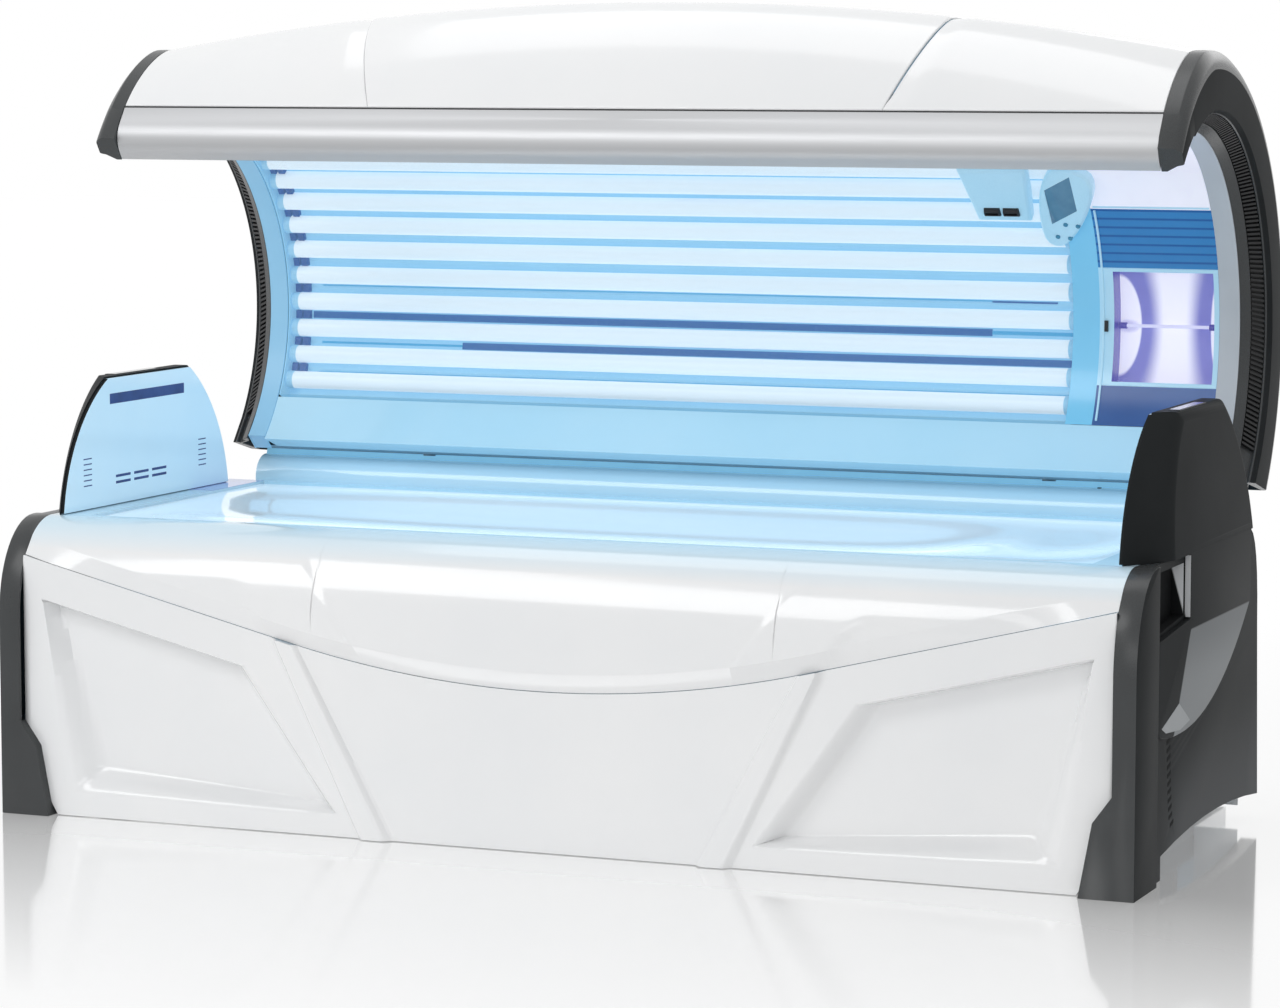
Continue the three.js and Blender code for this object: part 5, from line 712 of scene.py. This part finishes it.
def face_surround():
    """Skin round the glass with grooves, the well behind the glass, frame lines and a stud."""
    shape = Shape(TRIM)
    xs = [744, 746, STRIP_X, FRAME_X, GLASS_L, GLASS_R, FACE_END, 1048.4]
    edges = [GLASS_A, -GLASS_A, WINDOW_A, RIBBED_A, -RIBBED_A]
    angles = sorted(set(spread(120, -29.3, 96) + edges), reverse=True)
    for x0, x1 in zip(xs, xs[1:]):
        for a0, a1 in zip(angles, angles[1:]):
            x, a = (x0 + x1) / 2, (a0 + a1) / 2
            if GLASS_L < x < GLASS_R and abs(a) < GLASS_A:
                continue
            r0, r1 = [SHEET_R + (face_groove(b) if x > FRAME_X else 0.0) for b in (a0, a1)]
            corners = [arc(x0, r0, a0), arc(x1, r0, a0), arc(x1, r1, a1), arc(x0, r1, a1)]
            shape.add(corners, [(0, 1, 2, 3)], [face_finish(x, a)])
    steps = spread(GLASS_A, -GLASS_A, 28)
    for x, r0, r1 in ((GLASS_L, SHEET_R, WELL_R), (GLASS_R, WELL_R, SHEET_R)):
        shape.loft([[arc(x, r0, a), arc(x, r1, a)] for a in steps], DUSK, closed=False)
    for a in (GLASS_A, -GLASS_A):
        wall = [[arc(x, SHEET_R, a), arc(x, WELL_R, a)] for x in (GLASS_L, GLASS_R)]
        shape.loft(wall, DUSK, closed=False)
    floor_xs = spread(GLASS_L, GLASS_R, 20)
    shape.loft([[arc(x, WELL_R - 0.5, a) for x in floor_xs] for a in steps], BURN, closed=False)
    for a in (37.2, 16.7, -16.7):
        shape.strip(405, 402.6, a, 0.28, (FRAME_X, FACE_END), POD)
    edge = ((FRAME_X, SHEET_R), (FRAME_X, 400.8), (FRAME_X + 4, 400.8), (FRAME_X + 4, SHEET_R))
    shape.revolve(edge, spread(36, -28, 30), POD)
    shape.strip(SHEET_R, 398, 0, 1.6, (811, 818), BLACK)
    shape.piece("face_surround", "canopy", "face_housing", closed=False, angle=30)


def face_lamp():
    burner = Shape(BURNER)
    middle = (TY + 436, TZ)
    burner.rod((846, 1022), middle, 3.6, 20)
    for xs in ((832, 848), (1020, 1036)):
        burner.rod(xs, middle, 6.5, 20, DUSK)
    burner.piece("face_burner", "canopy", "face_lamp", bevel=0.6)
    pane = Shape(VIOLET)
    left, right, half = GLASS_L + 0.3, GLASS_R - 0.3, GLASS_A - 0.05
    pane.revolve(((left, 405), (right, 405), (right, 409), (left, 409)), spread(half, -half, 28))
    pane.piece("face_pane", "canopy", "face_glass", bevel=0.8, segments=1)


face_surround()
face_lamp()


# White front and rim of the bench

BROW_ROWS, STRAIGHT_ROWS = 40, 10


def brow_ring(x):
    """Cross-section of the brow: face with a sunk middle and shoulders, then the inside."""
    low = seam(x) + 3
    lip = min(low + LIP, BENCH - WALL)
    start = math.asin(max(0.0, lip - FRONT_Z) / FRONT_H)
    straight = STRAIGHT_ROWS if lip < FRONT_Z else 0
    face = [(0.0, lerp(lip, FRONT_Z, i / STRAIGHT_ROWS)) for i in range(straight)]
    face += [(FRONT_R * (1 - math.cos(a)), FRONT_Z + FRONT_H * math.sin(a))
             for a in spread(start, math.pi / 2, BROW_ROWS - straight)]
    outer = []
    for y, z in face:
        side = lerp(415, 505, (z - 408) / 122)
        sunk = ease((side - abs(x)) / 14 + 0.5) * ease((556 - z) / 30)
        shoulder = ease((abs(x) - 545 - 0.9 * (z - 372)) / 20 + 0.5) * ease((505 - z) / 70)
        outer.append((y + 2.6 * sunk + 6.5 * shoulder, z))
    under = max(UNDERCUT, front_depth(low))
    back = max(under, front_depth(lip)) + WALL
    edge = [(RIM_Y, BENCH), (RIM_Y, LEDGE), (166, LEDGE), (166, LEDGE_LOW)]
    inner = [(y + WALL, min(z, LEDGE_LOW)) for y, z in reversed(face)][1:-1]
    ring = [(under, low)] + outer + edge + inner + [(back, lip), (under + WALL, low)]
    return [(x, y, z) for y, z in ring]


def bench_surround():
    """Brow, the rim's two ends with their ledges, and the lit corner at the back."""
    shape = Shape(BROW)
    fine = [s * lerp(400, 530, t) for s in (-1, 1) for t in spread(0, 1, 40)]
    xs = sorted(set(spread(-BENCH_END, BENCH_END, 150) + fine))
    shape.loft([brow_ring(x) for x in xs])
    for s in (-1, 1):
        shape.box((s * 1046.3, s * BENCH_END), (RIM_Y, RIM_BACK), (LEDGE_LOW, BENCH))
        shape.box((s * 1032.3, s * 1047), (RIM_Y, RIM_BACK), (LEDGE_LOW, LEDGE))
    shape.box((-1130.2, -1046.8), (668, 896), (BENCH - 6, BENCH + 0.4), LILAC)
    shape.piece("bench_skin", "base", "bench_surround", bevel=2.0, segments=3,
                angle=34)


def hinge_cover():
    """Half-round cover with a ledge, a plug and a seal lip that is lower where the lugs pass."""
    shape = Shape(LIT_BARREL)
    foot, front, lip, lip_low = 584, RIM_BACK + 0.3, 651.6, 648.6
    start = 180 + math.degrees(math.asin((HINGE_Z - foot) / BARREL))
    angles = spread(start, 62, 40)
    outside, inside = [[polar(r, a, HINGE_Y, HINGE_Z) for a in angles]
                       for r in (BARREL, BARREL - 4)]
    outline = ([(front, foot)] + outside + inside[:0:-1]
               + [(956, LEDGE_LOW), (front, LEDGE_LOW)])
    shape.prism(outline, spread(-1096, 1096, 20))
    ledge = [(866, LEDGE), (883, LEDGE), (883, foot), (897.5, foot), (897.5, LEDGE_LOW),
             (866, LEDGE_LOW)]
    shape.prism(ledge, (-1031.5, 1031.5))
    # The seal lip carries painted light that lifts the shade in the gap under the hem
    for x0, x1, top in ((-1095, -715, lip), (-715, -685, lip_low), (-685, 685, lip),
                        (685, 715, lip_low), (715, 1095, lip)):
        section = [(1002, 636), (1006.5, top), (1008.5, top - 0.2), (1010, 634)]
        shape.prism(section, (x0, x1), SEAL)
    plug = [polar(r, a, HINGE_Y, HINGE_Z)
            for r, a in ((47, 100), (49.4, 100), (49.4, 94), (47, 94))]
    shape.prism(plug, (807, 815), BLACK)
    shape.piece("hinge_skin", "base", "hinge_cover", bevel=1.2, angle=34)


bench_surround()
hinge_cover()


# Service panel with ribs and sunk fields

# Columns of the mesh: x at the top, x at the foot, steps to the next one
COLUMNS = [(0, 0, 20), (300, 180, 20), (519.5, 320, 14), (566, 392, 12), (695, 405.4, 34),
           (860, 700, 22), (1102.5, 1016, 8), (BENCH_END, BENCH_END, 0)]
FOOT_LINE = ((1068.7, 3.0), (1094.7, 140.3), (BENCH_END, 189.3))  # lower edge near the ends
FIELD_FOOT, FIELD_DROP, FIELD_D = 44.0, 72.0, 42.0  # lower edge, drop below the seam, depth
FIELD_EDGE = 9.3  # height of the step along the upper edge
RIB_TOP, RIB_LOW, RIB_H = 532, 356, 14.0


def panel_bottom(x):
    (x0, z0), (x1, z1), (x2, z2) = FOOT_LINE
    x = abs(x)
    if x < x1:
        return lerp(z0, z1, max(0.0, x - x0) / (x1 - x0))
    return lerp(z1, z2, (x - x1) / (x2 - x1))


def panel_columns():
    found = []
    for (u0, b0, n), (u1, b1, _) in zip(COLUMNS, COLUMNS[1:]):
        found += [(lerp(u0, u1, i / n), lerp(b0, b1, i / n)) for i in range(n)]
    found.append(COLUMNS[-1][:2])
    return [(-u, -b) for u, b in reversed(found[1:])] + found


def side_distance(x, z, p, q):
    dx, dz = q[0] - p[0], q[1] - p[1]
    return (dz * (x - p[0]) - dx * (z - p[1])) / math.hypot(dx, dz)


def field_depth(x, z):
    """Depth of the sunk field, with an edge of its own width along each of its four sides."""
    x = abs(x)
    inner_top, outer_top = [(u, seam(u) - FIELD_DROP) for u in (634, 1090)]
    outer_low, inner_low = (1022, FIELD_FOOT), (430, FIELD_FOOT)
    along = min(1.0, max(0.0, (x - inner_low[0]) / (outer_low[0] - inner_low[0])))
    rise = min(1.0, max(0.0, (z - FIELD_FOOT) / (outer_top[1] - FIELD_FOOT)))
    share = min(side_distance(x, z, inner_low, inner_top) / 32,
                side_distance(x, z, inner_top, outer_top) / 9,
                side_distance(x, z, outer_top, outer_low) / lerp(74, 7, rise),
                side_distance(x, z, outer_low, inner_low) / lerp(12, 66, along))
    return FIELD_D * ease(share)


def panel_y(x, z):
    y = UNDERCUT + field_depth(x, z)
    t = (seam(RIB_TOP) - 21 - z) / (seam(RIB_TOP) - 31)
    middle, half = lerp(RIB_TOP, RIB_LOW, t), lerp(24, 36, t)
    off = abs(abs(x) - middle) / half
    if off < 1.1:
        y -= RIB_H * ease((1.05 - off) / 0.5)
    return y


def service_panel():
    """Panel as one sheet, whose rows follow the edges of the fields."""
    columns = []
    for u, b in panel_columns():
        low, top = panel_bottom(b), seam(u)
        foot = 10 if abs(b) < 1016 else low

        def across(z):
            return lerp(b, u, (z - foot) / (top - foot))
        field_low = max(FIELD_FOOT, low + 12)
        field_top = top - FIELD_DROP
        for _ in range(8):
            field_top = seam(across(field_top)) - FIELD_DROP
        field_top = max(field_top, field_low + 12)
        bend, step = lerp(field_low, field_top, 0.25), field_top - FIELD_EDGE
        levels = spread(low, field_low, 8)[:-1] + spread(field_low, bend, 24)[:-1]
        levels += spread(bend, step, 36)[:-1] + spread(step, field_top, 6)[:-1]
        levels += spread(field_top, top, 14)
        face = [(across(z), panel_y(across(z), z), z) for z in levels]
        (x0, y0, z0), (x1, y1, z1) = face[0], face[-1]
        columns.append([(x0, y0 + 26, z0)] + face + [(x1, y1 + 30, z1 - 0.4)])
    shape = Shape(WHITE)
    shape.loft(columns, closed=False)
    shape.piece("front_panel", "base", "service_panel", closed=False, thick=2.5,
                angle=44)


service_panel()


# Lying surface and the tubes below it

DISH_Y, DISH_TOP, DISH_D, DISH_T = 516, 586, 34, 5  # middle line, edge height, depth, thickness
PAN_X, PAN_Y, PAN_LOW, PAN_TOP = 1036, (166, 866), 480, 534


def dish(x, y):
    """Height of the lying surface, which is shallower under the head."""
    along = max(0.0, 1 - (x / 1028) ** 4)
    head = 1 - 0.55 * math.exp(-(((x - 800) / 150) ** 2))
    across = max(0.0, 1 - ((y - DISH_Y) / 346) ** 2) ** 2
    return DISH_TOP - DISH_D * along * head * across


def lying_surface():
    ys = spread(152, 880, 64)
    rings = []
    for x in spread(-1045.7, 1045.7, 120):
        top = [(x, y, dish(x, y)) for y in ys]
        rings.append(top + [(x, y, z - DISH_T) for x, y, z in reversed(top)])
    shape = Shape(BENCH_BLUE)
    shape.loft(rings)
    shape.piece("lying_sheet", "bench_acrylic", "bench_acrylic", bevel=1.2)


def bench_tubes():
    shape = Shape(TUBE)
    for i in range(13):
        middle = (DISH_Y + (i - 6) * 52, 514)
        shape.rod((-1028, 1028), middle, 19, 20)
        for xs in ((-1034, -1012), (1012, 1034)):
            shape.rod(xs, middle, 20.2, 16, SOCKET)
    shape.box((-PAN_X, PAN_X), PAN_Y, (PAN_LOW, PAN_LOW + 3), REFLECT)
    for s in (-1, 1):
        shape.box((s * (PAN_X - 6), s * PAN_X), PAN_Y, (PAN_LOW, PAN_TOP), REFLECT)
    for ys in ((PAN_Y[0], PAN_Y[0] + 3), (PAN_Y[1] - 3, PAN_Y[1])):
        shape.box((-PAN_X, PAN_X), ys, (PAN_LOW, PAN_TOP), REFLECT)
    shape.piece("bench_tubes", "base", "bench_lamp_bank", bevel=0.8, segments=1)


lying_surface()
bench_tubes()


# Towers: lit liners inside, raked charcoal shells outside

TOWER_Y, TOWER_Z, TOWER_TOP, TOWER_FOOT = 475.0, 548.0, 858.0, 592.3
TOWER_FRONT, TOWER_REAR, TOWER_STEPS = 347.94, 365.96, 26  # radii of its two edges
LINER_X, LINER_T, SHELL_IN, SHELL_OUT = 1100.7, 7.0, 1108, 1175
RAKE, LEAN = 110, 20  # how far the outside of the shell falls back, and in at the top
# Rounding of the shell's outer edge: x, inset
SHELL_ROUND = ((SHELL_IN, 0), (1150, 0), (1157, 0.6), (1163, 2.6), (1168, 6), (1172, 11),
               (1174.4, 16), (SHELL_OUT, 21))
SHIELD_Y, SHIELD_REAR, SHIELD_LOW, SHIELD_TOP = 150.4, 812, 262, 606
SHIELD_ROUND = ((1163.4, 0), (1172, 0), (1174, 2.4), (1174.6, 6))
SHIELD_MIDDLE = (470, 455)
NOTCH_Y = 360


def tower_outline(inset=0.0, lift=0.0):
    foot, top = TOWER_FOOT + lift - TOWER_Z, TOWER_TOP - inset - TOWER_Z

    def edge(r, a0, a1):
        return [(TOWER_Y + r * math.cos(a), TOWER_Z + r * math.sin(a))
                for a in spread(a0, a1, TOWER_STEPS)]
    front, rear = TOWER_FRONT - inset, TOWER_REAR - inset
    return (edge(front, math.pi - math.asin(foot / front), math.pi - math.asin(top / front))
            + edge(rear, math.asin(top / rear), math.asin(foot / rear)))


def tower_liner(side, hand):
    """Lit plate with a dark front edge, a long slot, dashes and two small grilles."""
    shape = Shape(LINER)
    face = side * LINER_X
    edge = {i: DIM for i in range(TOWER_STEPS)}
    shape.prism(tower_outline(4, 1.5), (face, face + side * LINER_T), tints=edge)
    marks = [((324, 640), (801, 823))]
    marks += [((452 + 76 * c - 31, 452 + 76 * c + 31), (635 + 13 * row, 641 + 13 * row))
              for c in (-1, 0, 1) for row in (0, 1)]
    marks += [((y, y + 34), (640 + k * 11, 643 + k * 11)) for k in range(6) for y in (214, 700)]
    for ys, zs in marks:
        shape.box((face - side * 0.3, face + side * 1.5), ys, zs, SLOT)
    shape.piece("lit_plate_" + hand, "base", "tower_liner_" + hand, bevel=1.0,
                angle=30)


def shield_outline():
    turn = (312.4, SHIELD_LOW)
    low = curve((SHIELD_Y, 290), (SHIELD_Y, SHIELD_LOW), turn, 16)[1:]
    low += curve(turn, (586, SHIELD_LOW), (SHIELD_REAR, 455), 16)[1:]
    return ([(SHIELD_Y, 452), (SHIELD_Y, 290)] + low
            + [(SHIELD_REAR, SHIELD_TOP), (NOTCH_Y, SHIELD_TOP), (NOTCH_Y, 470)])


def tower_shell(side, hand):
    """Raked shell of a tower with the shield that laps over the end cap."""
    shape = Shape(DIM)
    rings = []
    for x, inset in SHELL_ROUND:
        share = (x - SHELL_IN) / (SHELL_OUT - SHELL_IN)
        ring = []
        for y, z in tower_outline(inset):
            lean = LEAN * ((z - BENCH) / (TOWER_TOP - BENCH)) * share
            rake = RAKE * max(0.0, TOWER_Y - y) / TOWER_FRONT * share
            ring.append((side * (x - lean), y + rake, z))
        rings.append(ring)
    shape.loft(rings)
    shape.box((side * 1119.5, side * 1143.5), (380, 570), (856, 858.5), BLACK)
    shape.box((side * 1122, side * 1141), (386, 564), (857, 858.9), TOWER_SLOT)

    rings = []
    for x, shrink in SHIELD_ROUND:
        ring = []
        for y, z in shield_outline():
            dy, dz = SHIELD_MIDDLE[0] - y, SHIELD_MIDDLE[1] - z
            pull = shrink / max(1.0, math.hypot(dy, dz))
            ring.append((side * x, y + dy * pull, z + dz * pull))
        rings.append(ring)
    shape.loft(rings, SHIELD)
    # Pale tip of the shield: painted light
    tip = [(172, 290), (202, 278), (300, 270), (368, 279), (291, 321)]
    shape.prism(tip, (side * 1174.2, side * SHELL_OUT), TIP_LIGHT)
    # A dark notch line and a row of slit dashes: painted shade
    notch = ((NOTCH_Y - 0.4, NOTCH_Y + 0.4), (474, 590))
    shape.box((side * 1164, side * 1174.6), *notch, RECESS_SHADE)
    for k in range(11):
        y, z = 280 - 30 * math.sqrt(k / 10), 88 + 16 * k
        dash = [(y, z), (y + 24, z + 6), (y + 24, z + 14), (y, z + 8)]
        shape.prism(dash, (side * 1162.6, side * 1163.3), RECESS_SHADE)
    shape.piece("tower_skin_" + hand, "base", "tower_shell_" + hand, bevel=1.2,
                angle=30)


for build in (tower_liner, tower_shell):
    build(-1, "left")
    build(1, "right")


# Solids that keep their shape get finer edges and their own finish

def dress(names, mat, bevel, segments=2, angle=30):
    for name in names.split():
        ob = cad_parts[name]
        ob.data.materials.clear()
        ob.data.materials.append(mat)
        weld = ob.modifiers.new("weld", "WELD")
        weld.merge_threshold = 2e-5
        round_edges(ob, bevel, segments, angle)
        ob.data.shade_smooth()


def tint(name, mat, picks):
    """Gives a second material, here painted shade or light, to the faces of a solid that
    picks(centre, normal) chooses.
    """
    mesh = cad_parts[name].data
    mesh.materials.append(mat)
    for face in mesh.polygons:
        if picks(face.center, face.normal):
            face.material_index = len(mesh.materials) - 1


def side_painted_shade(centre, normal):
    return abs(centre.x) > 1.16 and abs(normal.x) > 0.9


def in_recess(centre, normal):
    x, y, z = abs(centre.x), centre.y + REAR * MM, centre.z
    outside = x > 1.162 and abs(normal.x) > 0.9
    return x > 1.135 and 0.149 < y < 0.361 and 0.45 < z < 0.586 and not outside


def hem_painted_light(centre, normal):
    lug = 0.68 < abs(centre.x) < 0.72
    return centre.z < 0.7 and (lug or normal.y < -0.1 or normal.z < -0.5)


CAPS = "end_cap_left end_cap_right"
dress(CAPS, CHARCOAL, 3.0, 3, 26)
# The caps' outer sides take painted shade, and the faces in their recesses take darker painted
# shade
for name in CAPS.split():
    tint(name, DIM, side_painted_shade)
    tint(name, RECESS_SHADE, in_recess)
dress("control_pod nozzle_housing", POD, 1.6, 3)
dress("display", SCREEN, 0.6)
dress("key_1 key_2 key_3 key_4", KEY, 0.6)
dress("nozzle_left nozzle_right cable_gland fan_housing fan_rotor", BLACK, 0.8)
dress("foot_front_left foot_front_right foot_rear_left foot_rear_right", BLACK, 1.0)
dress("base_frame bench_trestle_left bench_trestle_right hinge_post_left hinge_post_right "
      "canopy_frame", STEEL, 1.2)
# Low, downward faces and lugs of the canopy frame are painted pale: painted light in the gap under
# the hem
tint("canopy_frame", CLOSING, hem_painted_light)
dress("rear_panel", SHEET, 0.8)
dress("ballast_tray hinge_pin_left hinge_pin_right spring_rod_left spring_rod_right", ZINC, 1.0)
dress("spring_cylinder_left spring_cylinder_right", BLACK_STEEL, 1.0)


# Floor, light and camera

PURE_WHITE = (1, 1, 1, 1)
FLOOR_HALF, FLOOR_Z = 30.0, -0.0005


def seen(tree):
    """1 for what the camera sees, also by way of gloss and glass, and 0 for other light."""
    path = add_node(tree, "LightPath", {}).outputs
    direct = maths(tree, "MAXIMUM", path["Is Camera Ray"], path["Is Glossy Ray"])
    return maths(tree, "MAXIMUM", direct, path["Is Transmission Ray"])


def mix_shaders(tree, share, a, b):
    return add_node(tree, "MixShader", {"Fac": share, 1: a, 2: b}).outputs[0]


def floor():
    """Pale floor that keeps the shadow near the part, with a soft mirror image before it."""
    mesh = bpy.data.meshes.new("floor")
    corners = ((-1, -1), (1, -1), (1, 1), (-1, 1))
    mesh.from_pydata([(FLOOR_HALF * x, FLOOR_HALF * y, FLOOR_Z) for x, y in corners], [],
                     [(0, 1, 2, 3)])
    ob = link("floor", mesh)
    mat = bpy.data.materials.new("floor")
    mat.use_nodes = True
    tree = mat.node_tree
    tree.nodes.remove(tree.nodes["Principled BSDF"])

    def level(value, start, end, low, high):
        inputs = {"Value": value, "From Min": start, "From Max": end, "To Min": low, "To Max": high}
        return add_node(tree, "MapRange", inputs).outputs["Result"]
    diffuse = add_node(tree, "BsdfDiffuse", {"Color": (0.9, 0.9, 0.9, 1)}).outputs[0]
    white = add_node(tree, "Emission", {"Color": PURE_WHITE, "Strength": 1.0}).outputs[0]
    gloss = add_node(tree, "BsdfGlossy", {"Color": PURE_WHITE, "Roughness": 0.07}).outputs[0]
    where = add_node(tree, "TexCoord", {}).outputs["Object"]
    far = add_node(tree, "VectorMath", {0: where}, operation="LENGTH").outputs["Value"]
    pale = maths(tree, "MULTIPLY", seen(tree), level(far, 1.2, 3.2, 0.6, 1.0))
    y = add_node(tree, "SeparateXYZ", {0: where}).outputs["Y"]
    base = mix_shaders(tree, pale, diffuse, white)
    surface = mix_shaders(tree, level(y, -2.0, -0.5, 0.0, 0.62), base, gloss)
    feed(tree, tree.nodes["Material Output"].inputs["Surface"], surface)
    mesh.materials.append(mat)


def lamp(name, place, aim, size, power):
    data = bpy.data.lights.new(name, "AREA")
    data.shape = "RECTANGLE"
    data.size, data.size_y = size
    data.energy = power
    ob = link(name, data)
    ob.location = place
    dx, dy, dz = (aim[i] - place[i] for i in range(3))
    ob.rotation_euler = (math.atan2(math.hypot(dx, dy), -dz), 0, math.atan2(dx, -dy) + math.pi)


def studio():
    """White where it is seen, and a dimmer, slightly blue light on the part."""
    world = bpy.data.worlds.new("studio")
    bpy.context.scene.world = world
    world.use_nodes = True
    tree = world.node_tree
    plain = tree.nodes["Background"]
    plain.inputs["Color"].default_value = (0.97, 0.985, 1.0, 1)
    plain.inputs["Strength"].default_value = 0.5
    bright = add_node(tree, "Background", {"Color": PURE_WHITE, "Strength": 1.0})
    surface = mix_shaders(tree, seen(tree), plain.outputs[0], bright.outputs[0])
    feed(tree, tree.nodes["World Output"].inputs["Surface"], surface)


def photo_camera():
    data = bpy.data.cameras.new("camera")
    data.sensor_fit = "HORIZONTAL"
    data.sensor_width = 36.0
    data.lens = 118.46
    ob = link("camera", data)
    ob.location = (3.2136, -7.8104, 1.5286)
    down, turn = 6.1775, 22.557
    ob.rotation_euler = (math.radians(90 - down), 0, math.radians(turn))
    bpy.context.scene.camera = ob


floor()
lamp("key", (-2.6, -5.0, 4.6), (0, 0, 0.7), (3.5, 2.5), 108)
lamp("fill", (1.0, -6.5, 2.2), (0, 0, 0.7), (3.5, 1.5), 34)
lamp("top", (0, 0.4, 5.2), (0, 0, 0), (5, 2.5), 60)
lamp("back", (1.5, 5.0, 3.4), (0, 0, 1.0), (4, 2), 40)
studio()
photo_camera()
bpy.context.scene.view_settings.view_transform = "Standard"
